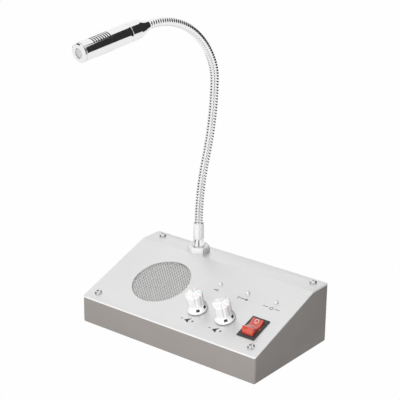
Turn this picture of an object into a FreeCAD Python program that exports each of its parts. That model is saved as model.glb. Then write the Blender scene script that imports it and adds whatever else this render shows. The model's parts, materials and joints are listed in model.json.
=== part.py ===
import FreeCAD, Part
import math
import os

# Teller window intercom, millimetres and degrees.
# A sloped desk base carries a speaker, two volume controls, three lamps and a rocker switch.
# A coil-wound gooseneck on the rear strip holds a slim microphone.
# +X is to the user's right, +Y is to the rear, +Z is up.
# The pieces are built round the middle of the base, on the surface that the feet stand on.
# save moves them together, so that the origin lies under the middle of the object, head included.

Vector = FreeCAD.Vector
Rotation = FreeCAD.Rotation
Placement = FreeCAD.Placement
AXIS_X = Vector(1, 0, 0)
AXIS_Z = Vector(0, 0, 1)

# ---------------------------------------------------------------- base shell
BASE_WIDTH = 161.5
BASE_DEPTH = 90.0
FRONT_WALL = 20.0
REAR_WALL = 45.5
REAR_STRIP = 19.5
CORNER_RADIUS = 1.6
TRAY_SHEET = 1.2
TRAY_BEND = 1.5
PANEL_SHEET = 1.2
PANEL_BEND = 2.0
FOOT_RADIUS = 6.0
FOOT_HEIGHT = 1.0
FOOT_CHAMFER = 0.4
FOOT_INSET = 14.0

# ---------------------------------------------------------------- clearances
RUNNING_CLEARANCE = 0.05
SLIP_CLEARANCE = 0.05
HOLE_CLEARANCE = 0.2
KNOB_GAP = 0.6

# ---------------------------------------------------------------- lid screws and their brackets
SCREW_RADIUS = 1.5
SCREW_HEAD_RADIUS = 2.8
SCREW_HEAD_HEIGHT = 1.9
SCREW_HEAD_DOME = 1.1
SCREW_LENGTH = 8.0
SCREW_SIDE_INSET = 9.15
SCREW_FRONT_INSET = 8.4
SCREW_REAR_INSET = 6.4
BRACKET_SHEET = 1.5
BRACKET_SIZE = 12.4
BRACKET_FLANGE = 9.0

# ---------------------------------------------------------------- places on the slope
# A row is a distance up the slope from its front edge, a column a distance to the right of the middle.
SWITCH_SIDE_INSET = 18.45
COLUMN_PITCH = 25.25
KNOB_ROW = 25.0
SWITCH_ROW = 24.8
LAMP_ROW = 53.9
SPEAKER_SIDE_INSET = 47.35
SPEAKER_ROW = 39.0

# ---------------------------------------------------------------- speaker
SPEAKER_WINDOW = 22.8
GRILLE_OVERLAP = 3.2
GRILLE_SHEET = 0.8
GRILLE_PITCH = 4.0
GRILLE_HOLE = 1.35
GRILLE_MARGIN = 0.4
GASKET_HEIGHT = 1.2
GASKET_WIDTH = 2.8
CONE_SHEET = 0.4
CONE_EDGE_INSET = 0.6
CONE_ROLL = 2.6
CONE_DEPTH = 6.4
DUST_CAP_RADIUS = 7.6
DUST_CAP_SEAT = 0.9
DUST_CAP_RISE = 1.8
VOICE_COIL_RADIUS = 5.8
VOICE_COIL_WALL = 0.4
VOICE_COIL_REACH = 1.2
BASKET_SHEET = 0.9
BASKET_DEPTH = 8.8
BASKET_TAPER = 9.4
BASKET_RIM_STEP = 1.2
BASKET_WINDOW_DEPTH = 5.2
BASKET_WINDOW_DROP = 1.0
BASKET_SPOKE = 5.0
YOKE_SHEET = 1.6
YOKE_RADIUS = 13.4
POLE_RADIUS = 5.0
MAGNET_RADIUS = 14.5
MAGNET_BORE = 7.2
MAGNET_HEIGHT = 5.0
MAGNET_AIR_GAP = 0.5
STUD_RADIUS = 1.5
STUD_LENGTH = 7.4
STUD_OUTSET = 3.5
STUD_NUT_FLATS = 5.5
STUD_NUT_HEIGHT = 2.4
EAR_WIDTH = 7.0

# ---------------------------------------------------------------- volume controls
POT_RADIUS = 8.2
POT_HEIGHT = 8.5
POT_TAG_WIDTH = 11.0
POT_TAG_REACH = 5.0
POT_TAG_SHEET = 1.4
BUSHING_RADIUS = 3.5
BUSHING_HEIGHT = 4.8
SHAFT_END_ROOM = 0.3
POT_WASHER_RADIUS = 5.2
POT_WASHER_HEIGHT = 0.5
POT_NUT_FLATS = 9.0
POT_NUT_HEIGHT = 2.0
SHAFT_RADIUS = 3.0
SHAFT_FLAT = 1.5
SHAFT_FLAT_START = 0.8
SHAFT_HEIGHT = 13.6
SHAFT_DEPTH = 5.5
KNOB_HEIGHT = 15.4
KNOB_SKIRT_RADIUS = 7.8
KNOB_SKIRT_EDGE = 1.0
KNOB_SKIRT_HEIGHT = 4.6
KNOB_WAIST_RADIUS = 6.0
KNOB_TOP_RADIUS = 6.7
KNOB_CROWN = 1.3
KNOB_FLUTES = 8
KNOB_FLUTE_RADIUS = 1.35
KNOB_FLUTE_DEPTH = 0.75
KNOB_FLUTE_START = 0.3
KNOB_SPOKE_WIDTH = 0.7
KNOB_SPOKE_DEPTH = 0.35
KNOB_SPOKE_HUB = 0.8
KNOB_THROAT_GAP = 0.3
KNOB_THROAT_ROOM = 0.5

# ---------------------------------------------------------------- lamps
LAMP_RADIUS = 1.5
LAMP_FLANGE_RADIUS = 1.9
LAMP_FLANGE_HEIGHT = 1.0
LAMP_PROUD = 2.6
LAMP_LEG = 0.5
LAMP_LEG_LENGTH = 8.0
LAMP_LEG_PITCH = 2.54
HOLDER_RADIUS = 3.2
HOLDER_HEIGHT = 3.5

# ---------------------------------------------------------------- rocker switch
BEZEL_WIDTH = 15.0
BEZEL_LENGTH = 21.0
BEZEL_HEIGHT = 1.0
BEZEL_CHAMFER = 0.4
BEZEL_SIDE_RIM = 1.1
BEZEL_END_RIM = 1.05
SWITCH_DEPTH = 13.0
SWITCH_WELL_DEPTH = 5.4
SWITCH_SIDE_WALL = 1.45
SWITCH_END_WALL = 1.25
ROCKER_SIDE_GAP = 0.25
ROCKER_END_GAP = 0.3
ROCKER_EDGE_RADIUS = 0.4
ROCKER_PIN_GAP = 0.15
ROCKER_END_RISE = 4.8
ROCKER_DIP = 2.3
ROCKER_SKIRT = 1.5
ROCKER_KEEL = 4.0
ROCKER_KEEL_HALF = 3.0
ROCKER_TILT = 12.0
ROCKER_PIVOT_HEIGHT = 1.0
ROCKER_PIN_RADIUS = 1.2
TERMINAL_WIDTH = 4.8
TERMINAL_SHEET = 0.8
TERMINAL_LENGTH = 8.0
TERMINAL_PITCH = 7.0

# ---------------------------------------------------------------- electronics
# Columns are measured from the board's left edge, rows from its front edge.
STANDOFF_HEIGHT = 4.0
STANDOFF_FLATS = 5.0
STANDOFF_BORE = 1.3
BOARD_SHEET = 1.6
BOARD_WIDTH = 100.0
BOARD_DEPTH = 48.0
BOARD_SIDE_GAP = 26.8
BOARD_REAR_GAP = 5.8
BOARD_HOLE_INSET = 4.0
BOARD_SCREW_HEAD = 2.4
BOARD_SCREW_HEAD_HEIGHT = 1.6
BOARD_SCREW_END_GAP = 0.5
CHIP_WIDTH = 6.4
CHIP_LENGTH = 9.6
CHIP_HEIGHT = 3.4
CHIP_COLUMN = 48.0
CHIP_PITCH = 16.0
CHIP_ROW = 14.0
CAPACITOR_RADIUS = 4.0
CAPACITOR_HEIGHT = 11.5
CAPACITOR_GROOVE = 0.4
CAPACITOR_GROOVE_HEIGHT = 1.0
CAPACITOR_COLUMN = 54.0
CAPACITOR_PITCH = 11.0
CAPACITOR_ROW = 30.0
PLUG_WIDTH = 7.4
PLUG_DEPTH = 5.8
PLUG_HEIGHT = 7.0
PLUG_COLUMN = 58.0
PLUG_PITCH = 15.0
PLUG_ROW = 5.5

# ---------------------------------------------------------------- sockets on the rear wall
JACK_LEVEL = 18.0
JACK_SIDE_INSET = 68.75
JACK_PITCH = 17.0
JACK_BORE = 1.8
JACK_BORE_LENGTH = 14.0
JACK_NOSE_RADIUS = 3.0
JACK_NOSE_PROUD = 3.0
JACK_BODY_SIZE = 9.0
JACK_BODY_DEPTH = 12.5
JACK_NUT_RADIUS = 4.2
JACK_NUT_HEIGHT = 2.0
POWER_SIDE_INSET = 30.75
POWER_BORE = 3.1
POWER_BORE_LENGTH = 10.5
POWER_PIN_RADIUS = 1.05
POWER_PIN_RECESS = 1.0
POWER_NOSE_RADIUS = 4.0
POWER_NOSE_PROUD = 3.0
POWER_BODY_RADIUS = 5.6
POWER_BODY_DEPTH = 12.5
POWER_NUT_FLATS = 10.0

# ---------------------------------------------------------------- gooseneck
NECK_SIDE_INSET = 49.25
NECK_REAR_INSET = 11.3
NECK_YAW = -5.4
NECK_NUT_FLATS = 15.5
NECK_NUT_TURN = 30.0
NECK_NUT_HEIGHT = 4.5
NECK_NUT_CHAMFER = 30.0
NECK_NUT_CORNER_CUT = 0.3
NECK_STUD_WALL = 2.4
NECK_STUD_BELOW = 9.0
NECK_SPIGOT_HEIGHT = 4.0
NECK_WASHER_RADIUS = 7.8
NECK_WASHER_HEIGHT = 1.0
NECK_LOCK_NUT_FLATS = 13.0
NECK_LOCK_NUT_HEIGHT = 4.0
FERRULE_HEIGHT = 18.4
FERRULE_GRIP = 0.1
FERRULE_FLARE_WALL = 1.45
FERRULE_FLARE_HEIGHT = 5.6
FERRULE_FLARE_DISH = 0.1
FERRULE_WAIST_WALL = 0.75
FERRULE_TOP_WALL = 0.6
FERRULE_LIP = 0.3
COIL_RADIUS = 3.3
LEAD_BORE = 1.6
# The centreline leaves the ferrule upright: each arc is a radius and a turn, forward turns positive.
NECK_ARCS = [(188.5, -15.7), (220.0, 15.7), (36.8, 23.3), (63.4, 74.7)]
NECK_JOINTS = 8
SEAM_SWELL = 1.3
SEAM_GAP = 0.25
# Points along the centreline where its lean to the rear is measured.
LEAN_STEPS = 400

# ---------------------------------------------------------------- microphone head
HEAD_LENGTH = 64.7
HEAD_RADIUS = 7.0
HEAD_WALL = 1.0
CONE_NECK_WALL = 0.5
CONE_TAPER_LENGTH = 11.0
CONE_TAPER_SWELL = 0.45
CONE_TAPER_FLAT = 0.35
CONE_HOLLOW_SETBACK = 1.5
CONE_LENGTH = 19.7
CONE_SOCKET = 7.0
CONE_SOCKET_FLOOR = 0.6
CAP_LENGTH = 2.0
CAP_CHAMFER = 0.7
CAP_GROOVE = 0.35
CAP_GROOVE_WIDTH = 0.5
CAP_FRONT_WALL = 1.2
FRONT_HOLE = 3.5
SPIGOT_LENGTH = 4.0
SOUND_SLOTS = 8
SOUND_SLOT_PITCH = 2.1
SOUND_SLOT_WIDTH = 1.0
SOUND_SLOT_HALF_ANGLE = 45.0
SOUND_SLOT_SETBACK = 11.4
SPIGOT_WALL = 1.3
MESH_SHEET = 0.4
CAPSULE_SLEEVE = 1.05
CAPSULE_LENGTH = 6.5
HOLDER_LENGTH = 9.8

# ---------------------------------------------------------------- frames worked out from the sizes
SLOPE_RUN = BASE_DEPTH - REAR_STRIP
SLOPE_ANGLE = math.degrees(math.atan2(REAR_WALL - FRONT_WALL, SLOPE_RUN))
HALF_WIDTH = BASE_WIDTH / 2
HALF_DEPTH = BASE_DEPTH / 2
TRAY_FLOOR = FOOT_HEIGHT + TRAY_SHEET
SIDE_INNER = HALF_WIDTH - TRAY_SHEET
REAR_INNER = HALF_DEPTH - TRAY_SHEET
SCREW_X = HALF_WIDTH - SCREW_SIDE_INSET
SPEAKER_COLUMN = SPEAKER_SIDE_INSET - HALF_WIDTH
SWITCH_WIDTH = BEZEL_WIDTH - 2 * BEZEL_SIDE_RIM
SWITCH_LENGTH = BEZEL_LENGTH - 2 * BEZEL_END_RIM
NECK_X = NECK_SIDE_INSET - HALF_WIDTH
NECK_Y = HALF_DEPTH - NECK_REAR_INSET
NECK_STUD_RADIUS = LEAD_BORE + NECK_STUD_WALL
# Tools that cut right through reach THROUGH past a face; FAR is outside everything.
THROUGH = 1.0
FAR = 400.0


def on_slope(x, row):
    """Frame on the lid's underside, on the slope: local Y runs up the slope, local Z out of the lid."""
    slope = Placement(Vector(0, -HALF_DEPTH, FOOT_HEIGHT + FRONT_WALL), Rotation(AXIS_X, SLOPE_ANGLE))
    return slope.multiply(Placement(Vector(x, row, 0), Rotation()))


def on_strip(x, y):
    """Frame on the underside of the lid's flat rear strip."""
    return Placement(Vector(x, y, FOOT_HEIGHT + REAR_WALL), Rotation())


def on_rear_wall(x, z):
    """Frame on the outside of the rear wall: local Z points out of it."""
    return Placement(Vector(x, HALF_DEPTH, z), Rotation(AXIS_X, -90))


# ---------------------------------------------------------------- shape helpers
def place(shape, frame):
    placed = shape.copy()
    placed.Placement = frame.multiply(placed.Placement)
    return placed


def block(x0, x1, y0, y1, z0, z1):
    return Part.makeBox(x1 - x0, y1 - y0, z1 - z0, Vector(x0, y0, z0))


def rod(radius, z0, z1, x=0.0, y=0.0):
    return Part.makeCylinder(radius, z1 - z0, Vector(x, y, z0))


def tube(outer, inner, z0, z1, x=0.0, y=0.0):
    return rod(outer, z0, z1, x, y).cut(rod(inner, z0 - THROUGH, z1 + THROUGH, x, y))


def outline(points, plane):
    """Closed wire: a point of two numbers ends a line, four numbers are an arc's middle and end."""
    edges = []
    here = plane(points[0][0], points[0][1])
    for step in points[1:] + points[:1]:
        end = plane(step[-2], step[-1])
        if len(step) == 4:
            edges.append(Part.Arc(here, plane(step[0], step[1]), end).toShape())
        else:
            edges.append(Part.makeLine(here, end))
        here = end
    return Part.Wire(edges)


def lathe(points):
    """Solid turned about local Z from an outline of (radius, height)."""
    face = Part.Face(outline(points, lambda r, z: Vector(r, 0, z)))
    return face.revolve(Vector(0, 0, 0), AXIS_Z, 360)


def cap(radius, edge_z, rise):
    """Outline step for a dome: an arc centred on the axis, from (radius, edge_z) up to the axis."""
    sphere = (radius ** 2 + rise ** 2) / (2 * rise)
    centre_z = edge_z + rise - sphere
    half = math.atan2(radius, sphere - rise) / 2
    return (sphere * math.sin(half), centre_z + sphere * math.cos(half), 0, edge_z + rise)


def prism_along_x(points, x0, x1):
    """Solid from an outline of (y, z), drawn out along X."""
    face = Part.Face(outline(points, lambda y, z: Vector(x0, y, z)))
    return face.extrude(Vector(x1 - x0, 0, 0))


def hex_prism(flats, z0, z1):
    corner = flats / math.sqrt(3)
    ring = [Vector(corner * math.cos(math.radians(60 * k)), corner * math.sin(math.radians(60 * k)), z0)
            for k in range(7)]
    return Part.Face(Part.makePolygon(ring)).extrude(Vector(0, 0, z1 - z0))


def hex_nut(flats, bore, z0, z1):
    return hex_prism(flats, z0, z1).cut(rod(bore, z0 - THROUGH, z1 + THROUGH))


def rounded_box(x1, y1, z0, z1, side_radius, floor_radius):
    """Box centred on the Z axis with round vertical edges and, where asked, round floor edges."""
    box = block(-x1, x1, -y1, y1, z0, z1)
    upright = [e for e in box.Edges if abs(e.tangentAt(e.FirstParameter).z) > 0.9]
    box = box.makeFillet(side_radius, upright)
    if floor_radius > 0:
        low = [e for e in box.Edges if e.BoundBox.ZMax < z0 + 0.01]
        box = box.makeFillet(floor_radius, low)
    return box


def save(name, *shapes):
    """Write one node: every solid of the shapes, as separate solids."""
    solids = []
    for shape in shapes:
        solids.extend(place(solid, object_frame()) for solid in shape.Solids)
    whole = solids[0] if len(solids) == 1 else Part.makeCompound(solids)
    good = all(s.isValid() for s in solids)
    print(f"{name}: {len(solids)} solid, {whole.Volume:.1f} mm3, {'valid' if good else 'NOT VALID'}")
    whole.exportStep(f"parts/{name}.step")


# ---------------------------------------------------------------- base shell
def space_over_tray():
    """Everything above the tray's rim: the slope, then the flat strip."""
    rim_front = FOOT_HEIGHT + FRONT_WALL
    rim_rear = FOOT_HEIGHT + REAR_WALL
    bend_y = HALF_DEPTH - REAR_STRIP
    drop = math.tan(math.radians(SLOPE_ANGLE)) * THROUGH
    points = [(-HALF_DEPTH - THROUGH, rim_front - drop), (bend_y, rim_rear), (FAR, rim_rear), (FAR, FAR),
              (-HALF_DEPTH - THROUGH, FAR)]
    return prism_along_x(points, -FAR, FAR)


def tray_inside():
    """The space inside the tray's walls, open at the top."""
    return rounded_box(SIDE_INNER, REAR_INNER, TRAY_FLOOR, FAR, CORNER_RADIUS - TRAY_SHEET,
                       TRAY_BEND - TRAY_SHEET)


def base_tray():
    """Sheet steel tray: floor and four walls folded up, with the socket holes in its rear wall."""
    outside = rounded_box(HALF_WIDTH, HALF_DEPTH, FOOT_HEIGHT, FOOT_HEIGHT + REAR_WALL, CORNER_RADIUS,
                          TRAY_BEND)
    tray = outside.cut(tray_inside()).cut(space_over_tray())
    hole = JACK_NOSE_RADIUS + HOLE_CLEARANCE
    for x in jack_columns():
        tray = tray.cut(place(rod(hole, -TRAY_SHEET - THROUGH, THROUGH), on_rear_wall(x, JACK_LEVEL)))
    power_hole = rod(POWER_NOSE_RADIUS + HOLE_CLEARANCE, -TRAY_SHEET - THROUGH, THROUGH)
    return tray.cut(place(power_hole, on_rear_wall(power_column(), JACK_LEVEL)))


def top_panel():
    """Aluminium lid: a slope and a flat strip in one bent sheet, flush with the tray all round."""
    front = FOOT_HEIGHT + FRONT_WALL
    rear = FOOT_HEIGHT + REAR_WALL
    bend_y = HALF_DEPTH - REAR_STRIP
    half = math.radians(SLOPE_ANGLE / 2)
    top_bend_y = bend_y - PANEL_SHEET * math.tan(half)
    front_top = front + PANEL_SHEET / math.cos(math.radians(SLOPE_ANGLE))
    sheet = prism_along_x([(-HALF_DEPTH, front), (bend_y, rear), (HALF_DEPTH, rear),
                           (HALF_DEPTH, rear + PANEL_SHEET), (top_bend_y, rear + PANEL_SHEET),
                           (-HALF_DEPTH, front_top)], -HALF_WIDTH, HALF_WIDTH)
    fold = [e for e in sheet.Edges if e.BoundBox.XLength > HALF_WIDTH
            and abs(e.CenterOfMass.y - top_bend_y) < 0.01 and e.CenterOfMass.z > rear + PANEL_SHEET / 2]
    sheet = sheet.makeFillet(PANEL_BEND + PANEL_SHEET, fold)
    corners = [e for e in sheet.Edges if e.BoundBox.ZLength < 2 * PANEL_SHEET
               and e.BoundBox.XLength < 0.01 and e.BoundBox.YLength < 0.01]
    sheet = sheet.makeFillet(CORNER_RADIUS, corners)
    for frame, radius in lid_holes():
        sheet = sheet.cut(place(rod(radius, -THROUGH, PANEL_SHEET + THROUGH), frame))
    half_width = SWITCH_WIDTH / 2 + HOLE_CLEARANCE / 2
    half_length = SWITCH_LENGTH / 2 + HOLE_CLEARANCE / 2
    slot = block(-half_width, half_width, -half_length, half_length, -THROUGH, PANEL_SHEET + THROUGH)
    return sheet.cut(place(slot, switch_frame()))


def lid_holes():
    """Each round hole in the lid, as its frame and its radius."""
    holes = [(frame, SCREW_RADIUS + HOLE_CLEARANCE) for frame in screw_frames()]
    holes += [(frame, LAMP_RADIUS + HOLE_CLEARANCE / 2) for frame in lamp_frames()]
    holes += [(frame, BUSHING_RADIUS + HOLE_CLEARANCE / 2) for frame in knob_frames()]
    holes.append((speaker_frame(), SPEAKER_WINDOW))
    holes.append((on_strip(NECK_X, NECK_Y), NECK_STUD_RADIUS + HOLE_CLEARANCE / 2))
    return holes


def rubber_feet():
    foot = lathe([(0, 0), (FOOT_RADIUS - FOOT_CHAMFER, 0), (FOOT_RADIUS, FOOT_CHAMFER),
                  (FOOT_RADIUS, FOOT_HEIGHT), (0, FOOT_HEIGHT)])
    x = HALF_WIDTH - FOOT_INSET
    y = HALF_DEPTH - FOOT_INSET
    corners = [Vector(sx * x, sy * y, 0) for sx in (-1, 1) for sy in (-1, 1)]
    return [place(foot, Placement(corner, Rotation())) for corner in corners]


# ---------------------------------------------------------------- lid screws and brackets
def screw_frames():
    front = [on_slope(side * SCREW_X, SCREW_FRONT_INSET) for side in (-1, 1)]
    rear = [on_strip(side * SCREW_X, HALF_DEPTH - SCREW_REAR_INSET) for side in (-1, 1)]
    return front + rear


def panel_screws():
    """Pan head screws through the lid into the corner brackets."""
    low = PANEL_SHEET
    edge = low + SCREW_HEAD_HEIGHT - SCREW_HEAD_DOME
    screw = lathe([(0, low - SCREW_LENGTH), (SCREW_RADIUS, low - SCREW_LENGTH), (SCREW_RADIUS, low),
                   (SCREW_HEAD_RADIUS, low), (SCREW_HEAD_RADIUS, edge),
                   cap(SCREW_HEAD_RADIUS, edge, SCREW_HEAD_DOME)])
    return [place(screw, frame) for frame in screw_frames()]


def corner_brackets():
    """Folded angles on the side walls: a tab under the lid takes the screw, a flange lies on the wall."""
    half = BRACKET_SIZE / 2
    room = tray_inside().cut(space_over_tray())
    brackets = []
    for frame, side in zip(screw_frames(), (-1, 1, -1, 1)):
        wall = side * (SIDE_INNER - SCREW_X)
        tab = block(min(-half, wall), max(half, wall), -half, half, -BRACKET_SHEET, 0)
        inner = wall - side * BRACKET_SHEET
        flange = block(min(inner, wall), max(inner, wall), -half, half, -BRACKET_FLANGE, 0)
        hole = rod(SCREW_RADIUS + SLIP_CLEARANCE, -BRACKET_FLANGE, THROUGH)
        brackets.append(place(tab.fuse(flange).removeSplitter().cut(hole), frame).common(room))
    return brackets


# ---------------------------------------------------------------- speaker
def speaker_frame():
    return on_slope(SPEAKER_COLUMN, SPEAKER_ROW)


def stud_places():
    angles = [math.radians(45 + 90 * k) for k in range(4)]
    return [(STUD_CIRCLE * math.cos(angle), STUD_CIRCLE * math.sin(angle)) for angle in angles]


GRILLE_RADIUS = SPEAKER_WINDOW + GRILLE_OVERLAP
CONE_RIM = SPEAKER_WINDOW - CONE_EDGE_INSET
BASKET_BACK_RADIUS = CONE_RIM - BASKET_TAPER
STUD_CIRCLE = GRILLE_RADIUS + STUD_OUTSET
GASKET_LEVEL = -GRILLE_SHEET
CONE_LEVEL = GASKET_LEVEL - GASKET_HEIGHT
FLANGE_LEVEL = CONE_LEVEL - CONE_SHEET
BASKET_BACK = FLANGE_LEVEL - BASKET_SHEET - BASKET_DEPTH
YOKE_LEVEL = BASKET_BACK - BASKET_SHEET
MAGNET_LEVEL = YOKE_LEVEL - YOKE_SHEET
YOKE_BACK = MAGNET_LEVEL - MAGNET_HEIGHT


def speaker_grille():
    """Perforated disc clamped behind the round window: six-sided holes in a staggered pattern."""
    disc = rod(GRILLE_RADIUS, GASKET_LEVEL, 0)
    hole = hex_prism(GRILLE_HOLE * 2, GASKET_LEVEL - THROUGH, THROUGH)
    row_pitch = GRILLE_PITCH * math.sqrt(3) / 2
    reach = SPEAKER_WINDOW - GRILLE_HOLE - GRILLE_MARGIN
    rows = int(reach / row_pitch)
    columns = int(reach / GRILLE_PITCH) + 1
    holes = []
    for row in range(-rows, rows + 1):
        shift = GRILLE_PITCH / 2 * (row % 2)
        for column in range(-columns, columns + 1):
            x = column * GRILLE_PITCH + shift
            y = row * row_pitch
            if math.hypot(x, y) < reach:
                holes.append(place(hole, Placement(Vector(x, y, 0), Rotation())))
    return disc.cut(Part.makeCompound(holes))


def speaker_gasket():
    return tube(GRILLE_RADIUS, GRILLE_RADIUS - GASKET_WIDTH, CONE_LEVEL, GASKET_LEVEL)


def speaker_cone():
    """Paper cone with a pressed surround, glued by its rim between the basket and the gasket."""
    rim = GRILLE_RADIUS - CONE_EDGE_INSET
    roll_end = CONE_RIM - CONE_ROLL
    roll_middle = CONE_RIM - CONE_ROLL / 2
    top = CONE_LEVEL
    dip = top - CONE_ROLL / 2
    deep = top - CONE_DEPTH
    seat = deep + DUST_CAP_SEAT
    sheet = CONE_SHEET
    upper = [(rim, top), (CONE_RIM, top), (roll_middle, dip), (roll_end, top), (DUST_CAP_RADIUS, seat),
             cap(DUST_CAP_RADIUS, seat, DUST_CAP_RISE)]
    lower = [(0, deep), (VOICE_COIL_RADIUS + sheet, deep), (roll_end, top - sheet),
             (roll_middle, dip - sheet), (CONE_RIM, top - sheet), (rim, top - sheet)]
    return lathe(upper + lower)


def voice_coil():
    """Coil former, glued into the cone's neck and reaching into the gap round the pole."""
    return tube(VOICE_COIL_RADIUS, VOICE_COIL_RADIUS - VOICE_COIL_WALL, YOKE_LEVEL - VOICE_COIL_REACH,
                CONE_LEVEL - CONE_DEPTH)


def speaker_basket():
    """Pressed steel frame: a flange with four ears, a conical wall with four windows, a back plate."""
    flange_low = FLANGE_LEVEL - BASKET_SHEET
    wide = CONE_RIM + BASKET_RIM_STEP
    eye = VOICE_COIL_RADIUS + BASKET_RIM_STEP
    shell = lathe([(GRILLE_RADIUS, FLANGE_LEVEL), (GRILLE_RADIUS, flange_low), (wide, flange_low),
                   (BASKET_BACK_RADIUS, YOKE_LEVEL), (eye, YOKE_LEVEL), (eye, BASKET_BACK),
                   (BASKET_BACK_RADIUS - BASKET_SHEET / 2, BASKET_BACK),
                   (wide - BASKET_SHEET, FLANGE_LEVEL)])
    for k in range(4):
        turn = Rotation(AXIS_Z, 90 * k)
        spoke_half = BASKET_SPOKE / 2
        window_top = flange_low - BASKET_WINDOW_DROP
        window = block(spoke_half, FAR, spoke_half, FAR, window_top - BASKET_WINDOW_DEPTH, window_top)
        shell = shell.cut(place(window, Placement(Vector(0, 0, 0), turn)))
    hole = STUD_RADIUS + HOLE_CLEARANCE
    for x, y in stud_places():
        ear = rod(EAR_WIDTH / 2, flange_low, FLANGE_LEVEL, x, y)
        angle = math.degrees(math.atan2(y, x))
        bridge = block(wide, STUD_CIRCLE, -EAR_WIDTH / 2, EAR_WIDTH / 2, flange_low, FLANGE_LEVEL)
        shell = shell.fuse(ear).fuse(place(bridge, Placement(Vector(0, 0, 0), Rotation(AXIS_Z, angle))))
        shell = shell.cut(rod(hole, flange_low - THROUGH, FLANGE_LEVEL + THROUGH, x, y))
    return shell.removeSplitter()


def speaker_yoke():
    """Front plate, and back plate with the pole: the magnet is held between them."""
    front = tube(YOKE_RADIUS, VOICE_COIL_RADIUS + MAGNET_AIR_GAP, MAGNET_LEVEL, YOKE_LEVEL)
    back = rod(YOKE_RADIUS, YOKE_BACK - YOKE_SHEET, YOKE_BACK).fuse(rod(POLE_RADIUS, YOKE_BACK, YOKE_LEVEL))
    return [front, back.removeSplitter()]


def speaker_magnet():
    return tube(MAGNET_RADIUS, MAGNET_BORE, YOKE_BACK, MAGNET_LEVEL)


def speaker_studs():
    """Studs welded under the lid."""
    return [rod(STUD_RADIUS, -STUD_LENGTH, 0, x, y) for x, y in stud_places()]


def speaker_nuts():
    top = FLANGE_LEVEL - BASKET_SHEET
    nut = hex_nut(STUD_NUT_FLATS, STUD_RADIUS + SLIP_CLEARANCE, top - STUD_NUT_HEIGHT, top)
    return [place(nut, Placement(Vector(x, y, 0), Rotation())) for x, y in stud_places()]


# ---------------------------------------------------------------- volume controls
def column(k):
    """Columns 0 and 1 hold a knob and a lamp, column 2 the switch and a lamp."""
    return HALF_WIDTH - SWITCH_SIDE_INSET - (2 - k) * COLUMN_PITCH


def knob_frames():
    return [on_slope(column(k), KNOB_ROW) for k in range(2)]


NUT_SEAT = PANEL_SHEET + POT_WASHER_HEIGHT
KNOB_FLOOR = PANEL_SHEET + KNOB_GAP
BUSHING_TOP = PANEL_SHEET + BUSHING_HEIGHT


def pot_body():
    """Rotary control: round can under the lid, threaded bushing through it, solder tags to the front."""
    can = rod(POT_RADIUS, -POT_HEIGHT, 0)
    tags = block(-POT_TAG_WIDTH / 2, POT_TAG_WIDTH / 2, -POT_RADIUS - POT_TAG_REACH, 0,
                 -POT_HEIGHT / 2 - POT_TAG_SHEET, -POT_HEIGHT / 2)
    bushing = rod(BUSHING_RADIUS, 0, BUSHING_TOP)
    bore = rod(SHAFT_RADIUS + RUNNING_CLEARANCE, -SHAFT_DEPTH - SHAFT_END_ROOM, BUSHING_TOP + THROUGH)
    return can.fuse(tags).fuse(bushing).removeSplitter().cut(bore)


def pot_washer():
    return tube(POT_WASHER_RADIUS, BUSHING_RADIUS + SLIP_CLEARANCE, PANEL_SHEET, NUT_SEAT)


def pot_nut():
    return hex_nut(POT_NUT_FLATS, BUSHING_RADIUS + SLIP_CLEARANCE, NUT_SEAT, NUT_SEAT + POT_NUT_HEIGHT)


def pot_shaft():
    """Shaft with a flat on its upper half, which keys the knob."""
    shaft = rod(SHAFT_RADIUS, -SHAFT_DEPTH, SHAFT_HEIGHT)
    flat = block(-FAR, FAR, SHAFT_FLAT, FAR, BUSHING_TOP + SHAFT_FLAT_START, FAR)
    return shaft.cut(flat)


def knob():
    """Moulded knob: flared skirt, waisted fluted grip, domed crown with radial grooves."""
    top = KNOB_FLOOR + KNOB_HEIGHT
    rim = top - KNOB_CROWN
    skirt_top = KNOB_FLOOR + KNOB_SKIRT_HEIGHT
    grip = lathe([(0, KNOB_FLOOR), (KNOB_SKIRT_RADIUS, KNOB_FLOOR),
                  (KNOB_SKIRT_RADIUS, KNOB_FLOOR + KNOB_SKIRT_EDGE), (KNOB_WAIST_RADIUS, skirt_top),
                  (KNOB_TOP_RADIUS, rim), cap(KNOB_TOP_RADIUS, rim, KNOB_CROWN)])
    flute_place = KNOB_TOP_RADIUS + KNOB_FLUTE_RADIUS - KNOB_FLUTE_DEPTH
    flute = rod(KNOB_FLUTE_RADIUS, skirt_top + KNOB_FLUTE_START, top + THROUGH, flute_place, 0)
    spoke = block(KNOB_SPOKE_HUB, KNOB_TOP_RADIUS + THROUGH, -KNOB_SPOKE_WIDTH / 2, KNOB_SPOKE_WIDTH / 2,
                  rim - KNOB_SPOKE_DEPTH, top + THROUGH)
    for k in range(KNOB_FLUTES):
        turn = Placement(Vector(0, 0, 0), Rotation(AXIS_Z, 360.0 / KNOB_FLUTES * k))
        grip = grip.cut(place(flute.fuse(spoke), turn))
    well_top = NUT_SEAT + POT_NUT_HEIGHT + KNOB_GAP
    well = rod(POT_NUT_FLATS / math.sqrt(3) + KNOB_GAP, KNOB_FLOOR - THROUGH, well_top)
    throat = rod(BUSHING_RADIUS + KNOB_THROAT_GAP, KNOB_FLOOR, BUSHING_TOP + KNOB_THROAT_ROOM)
    return grip.cut(well).cut(throat).cut(shaft_socket())


def shaft_socket():
    """The D-shaped socket that the shaft is pressed into."""
    socket = rod(SHAFT_RADIUS + SLIP_CLEARANCE, BUSHING_TOP, SHAFT_HEIGHT)
    flat = block(-FAR, FAR, SHAFT_FLAT + SLIP_CLEARANCE, FAR, BUSHING_TOP + SHAFT_FLAT_START, FAR)
    return socket.cut(flat)


# ---------------------------------------------------------------- lamps
def lamp_frames():
    return [on_slope(column(k), LAMP_ROW) for k in range(3)]


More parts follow.
